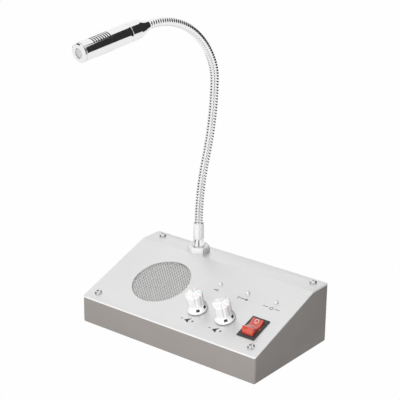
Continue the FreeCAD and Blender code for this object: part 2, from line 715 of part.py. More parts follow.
def lamp():
    """Three millimetre lamp: a dome through the lid, a flange under its holder, two legs."""
    dome_centre = PANEL_SHEET + LAMP_PROUD - LAMP_RADIUS
    flange_top = -HOLDER_HEIGHT
    flange_low = flange_top - LAMP_FLANGE_HEIGHT
    body = lathe([(0, flange_low), (LAMP_FLANGE_RADIUS, flange_low), (LAMP_FLANGE_RADIUS, flange_top),
                  (LAMP_RADIUS, flange_top), (LAMP_RADIUS, dome_centre),
                  cap(LAMP_RADIUS, dome_centre, LAMP_RADIUS)])
    for side in (-1, 1):
        x = side * LAMP_LEG_PITCH / 2
        leg = block(x - LAMP_LEG / 2, x + LAMP_LEG / 2, -LAMP_LEG / 2, LAMP_LEG / 2,
                    flange_low - LAMP_LEG_LENGTH, flange_low)
        body = body.fuse(leg)
    return body


def lamp_holder():
    return tube(HOLDER_RADIUS, LAMP_RADIUS + SLIP_CLEARANCE, -HOLDER_HEIGHT, 0)


# ---------------------------------------------------------------- rocker switch
def switch_frame():
    return on_slope(column(2), SWITCH_ROW)


WELL_HALF_WIDTH = SWITCH_WIDTH / 2 - SWITCH_SIDE_WALL
WELL_HALF_LENGTH = SWITCH_LENGTH / 2 - SWITCH_END_WALL
ROCKER_END_RADIUS = WELL_HALF_LENGTH - ROCKER_END_GAP
BEZEL_TOP = PANEL_SHEET + BEZEL_HEIGHT


def switch_body():
    """Snap-in housing: chamfered bezel on the lid, deep body under it, a well with two pin holes."""
    bezel = block(-BEZEL_WIDTH / 2, BEZEL_WIDTH / 2, -BEZEL_LENGTH / 2, BEZEL_LENGTH / 2,
                  PANEL_SHEET, BEZEL_TOP)
    upper = [e for e in bezel.Edges if e.BoundBox.ZMin > BEZEL_TOP - 0.01]
    bezel = bezel.makeChamfer(BEZEL_CHAMFER, upper)
    body = block(-SWITCH_WIDTH / 2, SWITCH_WIDTH / 2, -SWITCH_LENGTH / 2, SWITCH_LENGTH / 2,
                 -SWITCH_DEPTH, PANEL_SHEET)
    well = block(-WELL_HALF_WIDTH, WELL_HALF_WIDTH, -WELL_HALF_LENGTH, WELL_HALF_LENGTH,
                 -SWITCH_WELL_DEPTH, BEZEL_TOP + THROUGH)
    bore = Part.makeCylinder(ROCKER_PIN_RADIUS + RUNNING_CLEARANCE, SWITCH_WIDTH + 2 * THROUGH,
                             Vector(-SWITCH_WIDTH / 2 - THROUGH, 0, ROCKER_PIVOT_HEIGHT), AXIS_X)
    return bezel.fuse(body).removeSplitter().cut(well).cut(bore)


def rocker():
    """Two-faced key on a cross pin, resting with its rear half pressed."""
    half_width = WELL_HALF_WIDTH - ROCKER_SIDE_GAP
    end = ROCKER_END_RADIUS
    top_y = math.sqrt(end ** 2 - ROCKER_END_RISE ** 2)
    skirt_y = math.sqrt(end ** 2 - ROCKER_SKIRT ** 2)
    key = prism_along_x([(-top_y, ROCKER_END_RISE), (-end, 0, -skirt_y, -ROCKER_SKIRT),
                         (-ROCKER_KEEL_HALF, -ROCKER_KEEL), (ROCKER_KEEL_HALF, -ROCKER_KEEL),
                         (skirt_y, -ROCKER_SKIRT), (end, 0, top_y, ROCKER_END_RISE), (0, ROCKER_DIP)],
                        -half_width, half_width)
    upper = [e for e in key.Edges if e.BoundBox.XLength < 0.01 and e.BoundBox.ZMin > ROCKER_DIP - 0.1]
    key = key.makeFillet(ROCKER_EDGE_RADIUS, upper)
    pin_half = SWITCH_WIDTH / 2 - ROCKER_PIN_GAP
    pin = Part.makeCylinder(ROCKER_PIN_RADIUS, 2 * pin_half, Vector(-pin_half, 0, 0), AXIS_X)
    tipped = Placement(Vector(0, 0, ROCKER_PIVOT_HEIGHT), Rotation(AXIS_X, -ROCKER_TILT))
    return place(key.fuse(pin), tipped)


def switch_terminals():
    """Three push-on blades under the housing."""
    return [block(-TERMINAL_WIDTH / 2, TERMINAL_WIDTH / 2, k * TERMINAL_PITCH - TERMINAL_SHEET / 2,
                  k * TERMINAL_PITCH + TERMINAL_SHEET / 2, -SWITCH_DEPTH - TERMINAL_LENGTH, -SWITCH_DEPTH)
            for k in (-1, 0, 1)]


# ---------------------------------------------------------------- electronics
BOARD_LEFT = BOARD_SIDE_GAP - SIDE_INNER
BOARD_FRONT = REAR_INNER - BOARD_REAR_GAP - BOARD_DEPTH
BOARD_LOW = TRAY_FLOOR + STANDOFF_HEIGHT
BOARD_TOP = BOARD_LOW + BOARD_SHEET


def board_holes():
    inset = BOARD_HOLE_INSET
    return [(BOARD_LEFT + x, BOARD_FRONT + y) for x in (inset, BOARD_WIDTH - inset)
            for y in (inset, BOARD_DEPTH - inset)]


def main_board():
    board = block(BOARD_LEFT, BOARD_LEFT + BOARD_WIDTH, BOARD_FRONT, BOARD_FRONT + BOARD_DEPTH,
                  BOARD_LOW, BOARD_TOP)
    hole = STANDOFF_BORE + HOLE_CLEARANCE
    for x, y in board_holes():
        board = board.cut(rod(hole, BOARD_LOW - THROUGH, BOARD_TOP + THROUGH, x, y))
    return board


def board_standoffs():
    nut = hex_nut(STANDOFF_FLATS, STANDOFF_BORE, TRAY_FLOOR, BOARD_LOW)
    return [place(nut, Placement(Vector(x, y, 0), Rotation())) for x, y in board_holes()]


def board_screws():
    shank = STANDOFF_BORE - SLIP_CLEARANCE
    screws = []
    for x, y in board_holes():
        head = rod(BOARD_SCREW_HEAD, BOARD_TOP, BOARD_TOP + BOARD_SCREW_HEAD_HEIGHT, x, y)
        shaft = rod(shank, TRAY_FLOOR + BOARD_SCREW_END_GAP, BOARD_TOP, x, y)
        screws.append(head.fuse(shaft).removeSplitter())
    return screws


def on_board(width, depth, height, column, pitch, row, count):
    """Equal blocks in a row across the board."""
    y = BOARD_FRONT + row
    blocks = []
    for k in range(count):
        x = BOARD_LEFT + column + k * pitch
        blocks.append(block(x - width / 2, x + width / 2, y - depth / 2, y + depth / 2,
                            BOARD_TOP, BOARD_TOP + height))
    return blocks


def board_chips():
    return on_board(CHIP_LENGTH, CHIP_WIDTH, CHIP_HEIGHT, CHIP_COLUMN, CHIP_PITCH, CHIP_ROW, 2)


def board_capacitors():
    """Can capacitors with the crimp ring above their foot."""
    top = BOARD_TOP + CAPACITOR_HEIGHT
    crimp = BOARD_TOP + CAPACITOR_GROOVE_HEIGHT
    wide = CAPACITOR_RADIUS
    narrow = CAPACITOR_RADIUS - CAPACITOR_GROOVE
    can = lathe([(0, BOARD_TOP), (wide, BOARD_TOP), (wide, crimp), (narrow, crimp + CAPACITOR_GROOVE),
                 (wide, crimp + 2 * CAPACITOR_GROOVE), (wide, top - CAPACITOR_GROOVE),
                 (narrow, top), (0, top)])
    first = Vector(BOARD_LEFT + CAPACITOR_COLUMN, BOARD_FRONT + CAPACITOR_ROW, 0)
    return [place(can, Placement(first + Vector(k * CAPACITOR_PITCH, 0, 0), Rotation())) for k in range(3)]


def board_plugs():
    """Wire-to-board plugs for the speaker, the microphone and the controls."""
    return on_board(PLUG_WIDTH, PLUG_DEPTH, PLUG_HEIGHT, PLUG_COLUMN, PLUG_PITCH, PLUG_ROW, 3)


# ---------------------------------------------------------------- sockets on the rear wall
def jack_columns():
    first = HALF_WIDTH - JACK_SIDE_INSET
    return [first, first + JACK_PITCH]


def power_column():
    return HALF_WIDTH - POWER_SIDE_INSET


def audio_jack():
    """Socket for a 3.5 mm plug: square body inside the wall, threaded nose through it."""
    half = JACK_BODY_SIZE / 2
    body = block(-half, half, -half, half, -TRAY_SHEET - JACK_BODY_DEPTH, -TRAY_SHEET)
    nose = rod(JACK_NOSE_RADIUS, -TRAY_SHEET, JACK_NOSE_PROUD)
    bore = rod(JACK_BORE, JACK_NOSE_PROUD - JACK_BORE_LENGTH, JACK_NOSE_PROUD + THROUGH)
    return body.fuse(nose).removeSplitter().cut(bore)


def jack_nut():
    return tube(JACK_NUT_RADIUS, JACK_NOSE_RADIUS + SLIP_CLEARANCE, 0, JACK_NUT_HEIGHT)


def power_jack():
    """Inlet for a coaxial power plug: round body, threaded nose, centre pin in its bore."""
    body = rod(POWER_BODY_RADIUS, -TRAY_SHEET - POWER_BODY_DEPTH, -TRAY_SHEET)
    nose = rod(POWER_NOSE_RADIUS, -TRAY_SHEET, POWER_NOSE_PROUD)
    floor = POWER_NOSE_PROUD - POWER_BORE_LENGTH
    bore = rod(POWER_BORE, floor, POWER_NOSE_PROUD + THROUGH)
    pin = rod(POWER_PIN_RADIUS, floor, POWER_NOSE_PROUD - POWER_PIN_RECESS)
    return body.fuse(nose).removeSplitter().cut(bore).fuse(pin).removeSplitter()


def power_nut():
    return hex_nut(POWER_NUT_FLATS, POWER_NOSE_RADIUS + SLIP_CLEARANCE, 0, JACK_NUT_HEIGHT)


# ---------------------------------------------------------------- gooseneck mounting
NECK_NUT_TOP = PANEL_SHEET + NECK_NUT_HEIGHT
FERRULE_TOP = NECK_NUT_TOP + FERRULE_HEIGHT
FERRULE_BORE = COIL_RADIUS + FERRULE_GRIP


def neck_stud():
    """Hollow threaded stud through the lid, with a spigot that the ferrule sits on."""
    stud = rod(NECK_STUD_RADIUS, -NECK_STUD_BELOW, NECK_NUT_TOP)
    spigot = rod(FERRULE_BORE - SLIP_CLEARANCE, NECK_NUT_TOP, NECK_NUT_TOP + NECK_SPIGOT_HEIGHT)
    return stud.fuse(spigot).removeSplitter().cut(rod(LEAD_BORE, -FAR, FAR))


def neck_nut():
    """Hexagon nut on the lid with a corner to the front, its upper corners turned off at an angle."""
    nut = hex_nut(NECK_NUT_FLATS, NECK_STUD_RADIUS + SLIP_CLEARANCE, PANEL_SHEET, NECK_NUT_TOP)
    flat = NECK_NUT_FLATS / 2 - NECK_NUT_CORNER_CUT
    wide = NECK_NUT_FLATS
    drop = (wide - flat) * math.tan(math.radians(NECK_NUT_CHAMFER))
    envelope = lathe([(0, -FAR), (wide, -FAR), (wide, NECK_NUT_TOP - drop), (flat, NECK_NUT_TOP),
                      (0, NECK_NUT_TOP)])
    return place(nut.common(envelope), Placement(Vector(0, 0, 0), Rotation(AXIS_Z, NECK_NUT_TURN)))


def neck_washer():
    return tube(NECK_WASHER_RADIUS, NECK_STUD_RADIUS + HOLE_CLEARANCE, -NECK_WASHER_HEIGHT, 0)


def neck_lock_nut():
    return hex_nut(NECK_LOCK_NUT_FLATS, NECK_STUD_RADIUS + SLIP_CLEARANCE,
                   -NECK_WASHER_HEIGHT - NECK_LOCK_NUT_HEIGHT, -NECK_WASHER_HEIGHT)


def neck_ferrule():
    """Turned sleeve that grips the neck: flared foot on the nut, rounded lip at the top."""
    flare_top = NECK_NUT_TOP + FERRULE_FLARE_HEIGHT
    foot = FERRULE_BORE + FERRULE_FLARE_WALL
    waist = FERRULE_BORE + FERRULE_WAIST_WALL
    top = FERRULE_BORE + FERRULE_TOP_WALL
    flare_middle = ((foot + waist) / 2 - FERRULE_FLARE_DISH, (NECK_NUT_TOP + flare_top) / 2)
    return lathe([(FERRULE_BORE, NECK_NUT_TOP), (foot, NECK_NUT_TOP), (*flare_middle, waist, flare_top),
                  (top, FERRULE_TOP - FERRULE_LIP), (top - FERRULE_LIP, FERRULE_TOP),
                  (FERRULE_BORE, FERRULE_TOP)])


# ---------------------------------------------------------------- gooseneck centreline
def neck_root():
    """Frame at the ferrule's mouth: local Z up, local -Y the way that the neck bends forward."""
    turned = Placement(Vector(0, 0, FERRULE_TOP), Rotation(AXIS_Z, NECK_YAW))
    return on_strip(NECK_X, NECK_Y).multiply(turned)


def arc_length(radius, turn):
    return radius * math.radians(abs(turn))


NECK_LENGTH = sum(arc_length(radius, turn) for radius, turn in NECK_ARCS)
SPAN = NECK_LENGTH / NECK_JOINTS
SEAM_RADIUS = COIL_RADIUS + SEAM_SWELL


def neck_frame(distance):
    """Frame on the centreline, that far from the ferrule: local Z along it, local X across the bend."""
    if distance <= 0:
        return Placement(Vector(0, 0, distance), Rotation())
    y = 0.0
    z = 0.0
    heading = 0.0
    left = distance
    for radius, turn in NECK_ARCS:
        run = min(left, arc_length(radius, turn))
        curve = math.copysign(1 / radius, turn)
        ahead = heading + run * curve
        y += (math.cos(ahead) - math.cos(heading)) / curve
        z += (math.sin(ahead) - math.sin(heading)) / curve
        heading = ahead
        left -= run
    y -= left * math.sin(heading)
    z += left * math.cos(heading)
    return Placement(Vector(0, y, z), Rotation(AXIS_X, math.degrees(heading)))


def joint_distance(k):
    """Distance along the neck of bending centre k, counted from 1."""
    return (k - 0.5) * SPAN


def arc_sector(distance, run, radius, turn):
    """Length of the neck within one arc of the centreline, turned about the arc's own centre."""
    frame = neck_frame(distance)
    side = math.copysign(1, turn)
    centre = frame.Base + frame.Rotation.multVec(Vector(0, -side * radius, 0))
    rim = Part.makeCircle(COIL_RADIUS, frame.Base, frame.Rotation.multVec(AXIS_Z))
    return Part.Face(Part.Wire(rim)).revolve(centre, Vector(side, 0, 0), math.degrees(run / radius))


def coil_length(start, end):
    """A stretch of the wound neck: one sector for each arc that it runs through, straight past the ends."""
    pieces = []
    if start < 0:
        pieces.append(place(rod(COIL_RADIUS, 0, -start), neck_frame(start)))
    arc_start = 0.0
    for radius, turn in NECK_ARCS:
        arc_end = arc_start + arc_length(radius, turn)
        low = max(start, arc_start)
        high = min(end, arc_end)
        if high > low:
            pieces.append(arc_sector(low, high - low, radius, turn))
        arc_start = arc_end
    if end > NECK_LENGTH:
        pieces.append(place(rod(COIL_RADIUS, 0, end - NECK_LENGTH), neck_frame(NECK_LENGTH)))
    whole = pieces[0]
    for piece in pieces[1:]:
        whole = whole.fuse(piece)
    return whole


def seam_ball(k, radius):
    return Part.makeSphere(radius, neck_frame(joint_distance(k)).Base)


def seam_dome(k):
    """Round end of a length: the next one turns about the dome's centre."""
    post = rod(COIL_RADIUS, 0, SEAM_RADIUS + THROUGH)
    return place(post, neck_frame(joint_distance(k))).common(seam_ball(k, SEAM_RADIUS))


def neck_base():
    """The length that the ferrule grips, up to the first bending centre."""
    start = -(FERRULE_HEIGHT - NECK_SPIGOT_HEIGHT - SLIP_CLEARANCE)
    return coil_length(start, joint_distance(1)).fuse(seam_dome(1))


def neck_link(k):
    """The length between bending centres k and k + 1."""
    length = coil_length(joint_distance(k), joint_distance(k + 1)).fuse(seam_dome(k + 1))
    return length.cut(seam_ball(k, SEAM_RADIUS + SEAM_GAP))


def neck_top():
    """The last length, from the last bending centre into the socket of the microphone's cone."""
    end = NECK_LENGTH + CONE_SOCKET - SLIP_CLEARANCE
    return coil_length(joint_distance(NECK_JOINTS), end).cut(seam_ball(NECK_JOINTS, SEAM_RADIUS + SEAM_GAP))


# ---------------------------------------------------------------- microphone head
BARREL_START = CONE_LENGTH
BARREL_END = HEAD_LENGTH - CAP_LENGTH
BARREL_BORE = HEAD_RADIUS - HEAD_WALL
SPIGOT_RADIUS = BARREL_BORE - SLIP_CLEARANCE
CONE_NECK_RADIUS = COIL_RADIUS + SLIP_CLEARANCE + CONE_NECK_WALL
MESH_POCKET = SPIGOT_RADIUS - SPIGOT_WALL
CAPSULE_POCKET = SPIGOT_RADIUS - CAPSULE_SLEEVE


def mic_cone():
    """Rear taper: grips the neck, swells to the barrel's width, ends in a spigot inside the barrel."""
    socket = COIL_RADIUS + SLIP_CLEARANCE
    hollow = SPIGOT_RADIUS - HEAD_WALL
    taper = CONE_TAPER_LENGTH
    middle = (CONE_NECK_RADIUS + HEAD_RADIUS) / 2
    return lathe([(socket, 0), (CONE_NECK_RADIUS, 0),
                  (CONE_NECK_RADIUS + CONE_TAPER_SWELL, taper / 4, middle, taper / 2),
                  (HEAD_RADIUS - CONE_TAPER_FLAT, taper * 3 / 4, HEAD_RADIUS, taper),
                  (HEAD_RADIUS, CONE_LENGTH), (SPIGOT_RADIUS, CONE_LENGTH),
                  (SPIGOT_RADIUS, CONE_LENGTH + SPIGOT_LENGTH), (hollow, CONE_LENGTH + SPIGOT_LENGTH),
                  (hollow, taper + CONE_HOLLOW_SETBACK), (LEAD_BORE, CONE_SOCKET + CONE_SOCKET_FLOOR),
                  (LEAD_BORE, CONE_SOCKET), (socket, CONE_SOCKET)])


def mic_barrel():
    """Thin tube with a row of sound slots across its top and another across its underside."""
    barrel = tube(HEAD_RADIUS, BARREL_BORE, BARREL_START, BARREL_END)
    depth = HEAD_RADIUS * math.cos(math.radians(SOUND_SLOT_HALF_ANGLE))
    for k in range(SOUND_SLOTS):
        middle = HEAD_LENGTH - SOUND_SLOT_SETBACK - k * SOUND_SLOT_PITCH
        for low, high in ((depth, FAR), (-FAR, -depth)):
            slot = block(-FAR, FAR, low, high, middle - SOUND_SLOT_WIDTH / 2, middle + SOUND_SLOT_WIDTH / 2)
            barrel = barrel.cut(slot)
    return barrel


def mic_end_cap():
    """Front ring: chamfered nose with the sound hole, a parting groove, a spigot inside the barrel."""
    front = HEAD_LENGTH
    pocket = MESH_POCKET
    groove = HEAD_RADIUS - CAP_GROOVE
    return lathe([(FRONT_HOLE, front), (HEAD_RADIUS - CAP_CHAMFER, front),
                  (HEAD_RADIUS, front - CAP_CHAMFER),
                  (HEAD_RADIUS, BARREL_END + CAP_GROOVE_WIDTH), (groove, BARREL_END + CAP_GROOVE_WIDTH),
                  (groove, BARREL_END), (SPIGOT_RADIUS, BARREL_END),
                  (SPIGOT_RADIUS, BARREL_END - SPIGOT_LENGTH), (pocket, BARREL_END - SPIGOT_LENGTH),
                  (pocket, front - CAP_FRONT_WALL), (FRONT_HOLE, front - CAP_FRONT_WALL)])


def mic_mesh():
    top = HEAD_LENGTH - CAP_FRONT_WALL
    return rod(MESH_POCKET - SLIP_CLEARANCE, top - MESH_SHEET, top)


def mic_holder():
    """Rubber sleeve, a tight fit in the barrel, with the capsule in its front pocket."""
    front = BARREL_END - SPIGOT_LENGTH
    rear = front - HOLDER_LENGTH
    floor = front - CAPSULE_LENGTH
    return lathe([(LEAD_BORE, rear), (SPIGOT_RADIUS, rear), (SPIGOT_RADIUS, front), (CAPSULE_POCKET, front),
                  (CAPSULE_POCKET, floor), (LEAD_BORE, floor)])


def mic_capsule():
    front = BARREL_END - SPIGOT_LENGTH
    return rod(CAPSULE_POCKET - SLIP_CLEARANCE, front - CAPSULE_LENGTH, front)


# ---------------------------------------------------------------- origin, hinge centres and axes
def neck_rear():
    """How far back the neck's coil leans."""
    root = neck_root()
    centres = [root.multVec(neck_frame(NECK_LENGTH * k / LEAN_STEPS).Base).y for k in range(LEAN_STEPS)]
    return max(centres) + COIL_RADIUS


def object_frame():
    """Where the middle of the base lies: the head reaches out in front, the neck or the socket behind."""
    head = neck_root().multiply(neck_frame(NECK_LENGTH))
    nose = head.multVec(Vector(0, 0, HEAD_LENGTH))
    tilt = math.sqrt(1 - head.Rotation.multVec(AXIS_Z).y ** 2)
    front = nose.y - tilt * (HEAD_RADIUS - CAP_CHAMFER)
    rear = max(HALF_DEPTH + POWER_NOSE_PROUD, neck_rear())
    return Placement(Vector(0, -(front + rear) / 2, 0), Rotation())


def print_hinge(name, frame, axis):
    moved = object_frame().multiply(frame)
    centre = moved.Base
    along = moved.Rotation.multVec(axis)
    place_text = f"{centre.x:.6f} {centre.y:.6f} {centre.z:.6f}"
    print(f"HINGE {name} {place_text} {along.x:.8f} {along.y:.8f} {along.z:.8f}")


def print_hinges():
    print(f"SHIFT {object_frame().Base.y:.6f}")
    for name, frame in zip(("knob_left", "knob_right"), knob_frames()):
        print_hinge(name, frame, AXIS_Z)
    pivot = switch_frame().multiply(Placement(Vector(0, 0, ROCKER_PIVOT_HEIGHT), Rotation()))
    print_hinge("rocker", pivot, AXIS_X)
    for k in range(1, NECK_JOINTS + 1):
        frame = neck_root().multiply(neck_frame(joint_distance(k)))
        print_hinge(f"neck_{k}_across", frame, AXIS_X)
        print_hinge(f"neck_{k}_side", frame, Vector(0, 1, 0))


# ---------------------------------------------------------------- the whole object
def build_shell():
    save("base_tray", base_tray())
    save("top_panel", top_panel())
    save("corner_brackets", *corner_brackets())
    save("panel_screws", *panel_screws())
    save("rubber_feet", *rubber_feet())


def build_speaker():
    frame = speaker_frame()
    save("speaker_grille", place(speaker_grille(), frame))
    save("speaker_gasket", place(speaker_gasket(), frame))
    save("speaker_cone", place(speaker_cone(), frame))
    save("voice_coil", place(voice_coil(), frame))
    save("speaker_basket", place(speaker_basket(), frame))
    save("speaker_yoke", *[place(plate, frame) for plate in speaker_yoke()])
    save("speaker_magnet", place(speaker_magnet(), frame))
    save("speaker_studs", *[place(stud, frame) for stud in speaker_studs()])
    save("speaker_nuts", *[place(nut, frame) for nut in speaker_nuts()])


def build_controls():
    for name, frame in zip(("left", "right"), knob_frames()):
        save(f"knob_{name}", place(knob(), frame))
        save(f"pot_shaft_{name}", place(pot_shaft(), frame))
        save(f"pot_body_{name}", place(pot_body(), frame))
    save("pot_washers", *[place(pot_washer(), frame) for frame in knob_frames()])
    save("pot_nuts", *[place(pot_nut(), frame) for frame in knob_frames()])
    for k, frame in enumerate(lamp_frames()):
        save(f"lamp_{k + 1}", place(lamp(), frame))
    save("lamp_holders", *[place(lamp_holder(), frame) for frame in lamp_frames()])
    save("switch_body", place(switch_body(), switch_frame()))
    save("rocker", place(rocker(), switch_frame()))
    save("switch_terminals", *[place(blade, switch_frame()) for blade in switch_terminals()])


def build_electronics():
    save("main_board", main_board())
    save("board_standoffs", *board_standoffs())
    save("board_screws", *board_screws())
    save("board_chips", *board_chips())
    save("board_capacitors", *board_capacitors())
    save("board_plugs", *board_plugs())
    frames = [on_rear_wall(x, JACK_LEVEL) for x in jack_columns()]
    save("outside_jack", place(audio_jack(), frames[0]))
    save("record_jack", place(audio_jack(), frames[1]))
    save("jack_nuts", *[place(jack_nut(), frame) for frame in frames])
    power_frame = on_rear_wall(power_column(), JACK_LEVEL)
    save("power_jack", place(power_jack(), power_frame))
    save("power_nut", place(power_nut(), power_frame))


def build_neck():
    foot = on_strip(NECK_X, NECK_Y)
    save("neck_stud", place(neck_stud(), foot))
    save("neck_nut", place(neck_nut(), foot))
    save("neck_washer", place(neck_washer(), foot))
    save("neck_lock_nut", place(neck_lock_nut(), foot))
    save("neck_ferrule", place(neck_ferrule(), foot))
    root = neck_root()
    save("neck_base", place(neck_base(), root))
    for k in range(1, NECK_JOINTS):
        save(f"neck_{k}", place(neck_link(k), root))
    save("neck_top", place(neck_top(), root))


def build_head():
    head = neck_root().multiply(neck_frame(NECK_LENGTH))
    save("mic_cone", place(mic_cone(), head))
    save("mic_barrel", place(mic_barrel(), head))
    save("mic_end_cap", place(mic_end_cap(), head))
    save("mic_mesh", place(mic_mesh(), head))
    save("mic_holder", place(mic_holder(), head))
    save("mic_capsule", place(mic_capsule(), head))


os.makedirs("parts", exist_ok=True)
build_shell()
build_speaker()
build_controls()
build_electronics()
build_neck()
build_head()
print_hinges()
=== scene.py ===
import json
import math

import bmesh
import bpy
from mathutils import Matrix, Vector


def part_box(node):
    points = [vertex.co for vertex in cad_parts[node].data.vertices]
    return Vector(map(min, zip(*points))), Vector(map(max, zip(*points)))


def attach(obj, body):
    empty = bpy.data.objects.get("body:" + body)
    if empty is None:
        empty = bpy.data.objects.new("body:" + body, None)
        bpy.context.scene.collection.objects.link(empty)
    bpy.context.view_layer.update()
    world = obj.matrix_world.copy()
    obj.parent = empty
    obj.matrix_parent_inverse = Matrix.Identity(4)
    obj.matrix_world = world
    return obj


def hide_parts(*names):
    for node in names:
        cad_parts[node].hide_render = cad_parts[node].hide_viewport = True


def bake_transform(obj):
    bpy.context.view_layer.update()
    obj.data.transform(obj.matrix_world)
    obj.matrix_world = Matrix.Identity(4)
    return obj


# Teller window intercom: the looks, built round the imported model.
# Sizes are in millimetres until a mesh is placed, and metres from there on.

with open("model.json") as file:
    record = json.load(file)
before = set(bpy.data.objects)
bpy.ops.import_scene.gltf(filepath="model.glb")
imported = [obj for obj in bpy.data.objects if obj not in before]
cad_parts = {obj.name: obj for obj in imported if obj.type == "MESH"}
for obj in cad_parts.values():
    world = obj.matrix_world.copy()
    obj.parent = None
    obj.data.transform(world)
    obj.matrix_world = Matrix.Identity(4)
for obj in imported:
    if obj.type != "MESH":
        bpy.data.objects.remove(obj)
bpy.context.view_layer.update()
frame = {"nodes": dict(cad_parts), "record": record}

MM = 0.001
TO_METRES = Matrix.Scale(MM, 4)
TO_MILLIMETRES = TO_METRES.inverted()

# ---- sizes of the base
tray_low, tray_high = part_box("base_tray")
BASE_MIDDLE = (tray_low.y + tray_high.y) / 2 / MM
HALF_DEPTH = (tray_high.y - tray_low.y) / 2 / MM
HALF_WIDTH = tray_high.x / MM
FOOT_HEIGHT = tray_low.z / MM
FOOT_RADIUS = 6.0
FOOT_INSET = 14
FRONT_RIM = FOOT_HEIGHT + 20.0
REAR_RIM = FOOT_HEIGHT + 45.5
REAR_STRIP = 19.5
LID = 1.2
CORNER_RADIUS = 1.6
SLOPE = math.atan2(REAR_RIM - FRONT_RIM, 2 * HALF_DEPTH - REAR_STRIP)
SCREW_X = HALF_WIDTH - 9.15
SCREW_FRONT_ROW = 8.4
SCREW_REAR_INSET = 6.4
COLUMNS = [11.8, 37.05, 62.3]
KNOB_ROW = 25.0
LAMP_ROW = 53.9
SWITCH_ROW = 24.8
VOLUME_SIGN_ROW = 11.6
LAMP_SIGN_ROW = 47.9
SPEAKER = (-33.4, 39.0)
WINDOW_RADIUS = 22.8
SCREW_HOLE = 1.7
LAMP_HOLE = 1.6
KNOB_HOLE = 3.6
NECK_HOLE = 4.1
SWITCH_HOLE = (6.5, 9.55)
DRILL_DEPTH = 3
SOCKET_LEVEL = 18.0
JACKS = {"outside_jack": 12.0, "record_jack": 29.0}
POWER_X = 50.0

# ---- sizes of the gooseneck and the head
NECK_X = -31.5
NECK_Y = HALF_DEPTH - 11.3
NECK_YAW = math.radians(-5.4)
NECK_STUD = 4.05
NECK_NUT_FLATS = 15.5
NECK_NUT_TURN = math.radians(30)
NECK_NUT_EASE = 0.3
NECK_NUT_TOP = LID + 4.5
FERRULE_TOP = NECK_NUT_TOP + 18.4
NECK_ARCS = [(188.5, -15.7), (220.0, 15.7), (36.8, 23.3), (63.4, 74.7)]
NECK_JOINTS = 8
NECK_RADIUS = 3.3
COIL_PITCH = 2.22
WIRE_CROWN = 1.9
COIL_OVERLAP = 3.0
LEAD_IN = 4.0
BLEND_HALF = 0.42
COIL_STEPS = 10
COIL_SIDES = 36
CENTRELINE_STEPS = 240
HEAD_LENGTH = 64.7
HEAD_RADIUS = 7.0
BARREL_START = 19.7
BARREL_END = HEAD_LENGTH - 2.0
BARREL_BORE = HEAD_RADIUS - 1.0
SPIGOT_RADIUS = BARREL_BORE - 0.06
SPIGOT = 4.0


# ---- frames on the object
def on_slope(x, row, lift=0.0):
    """On the lid's underside, on the slope: local Y runs up the slope, local Z out of the lid."""
    corner = Matrix.Translation((0, BASE_MIDDLE - HALF_DEPTH, FRONT_RIM))
    return corner @ Matrix.Rotation(SLOPE, 4, "X") @ Matrix.Translation((x, row, lift))


def on_strip(x, y, lift=0.0):
    """On the underside of the lid's flat rear strip."""
    return Matrix.Translation((x, BASE_MIDDLE + y, REAR_RIM + lift))


def on_rear_wall(x):
    """On the outside of the rear wall, level with the sockets: local Z points out of it."""
    spot = Matrix.Translation((x, BASE_MIDDLE + HALF_DEPTH, SOCKET_LEVEL))
    return spot @ Matrix.Rotation(-math.pi / 2, 4, "X")


NECK_ROOT = on_strip(NECK_X, NECK_Y, FERRULE_TOP) @ Matrix.Rotation(NECK_YAW, 4, "Z")
NECK_LENGTH = sum(radius * math.radians(abs(turn)) for radius, turn in NECK_ARCS)
SPAN = NECK_LENGTH / NECK_JOINTS


def neck_frame(distance):
    """On the neck's centreline, that far from the ferrule's mouth: local Z runs along it."""
    if distance <= 0:
        return NECK_ROOT @ Matrix.Translation((0, 0, distance))
    y = z = heading = 0.0
    left = distance
    for radius, turn in NECK_ARCS:
        run = min(left, radius * math.radians(abs(turn)))
        curve = math.copysign(1 / radius, turn)
        ahead = heading + run * curve
        y += (math.cos(ahead) - math.cos(heading)) / curve
        z += (math.sin(ahead) - math.sin(heading)) / curve
        heading = ahead
        left -= run
    y -= left * math.sin(heading)
    z += left * math.cos(heading)
    return NECK_ROOT @ Matrix.Translation((0, y, z)) @ Matrix.Rotation(heading, 4, "X")


HEAD = neck_frame(NECK_LENGTH)


# ---- node trees
class Term:
    """Number that a socket carries: arithmetic with it adds the nodes."""

    def __init__(self, graph, socket):
        self.graph = graph
        self.socket = socket

    def __add__(self, other):
        return self.graph.math("ADD", self, other)

    def __sub__(self, other):
        return self.graph.math("SUBTRACT", self, other)

    def __mul__(self, other):
        return self.graph.math("MULTIPLY", self, other)

    def __truediv__(self, other):
        return self.graph.math("DIVIDE", self, other)

    def __rtruediv__(self, other):
        return self.graph.math("DIVIDE", other, self)

    def __mod__(self, other):
        return self.graph.math("FLOORED_MODULO", self, other)

    def __pow__(self, other):
        return self.graph.math("POWER", self, other)


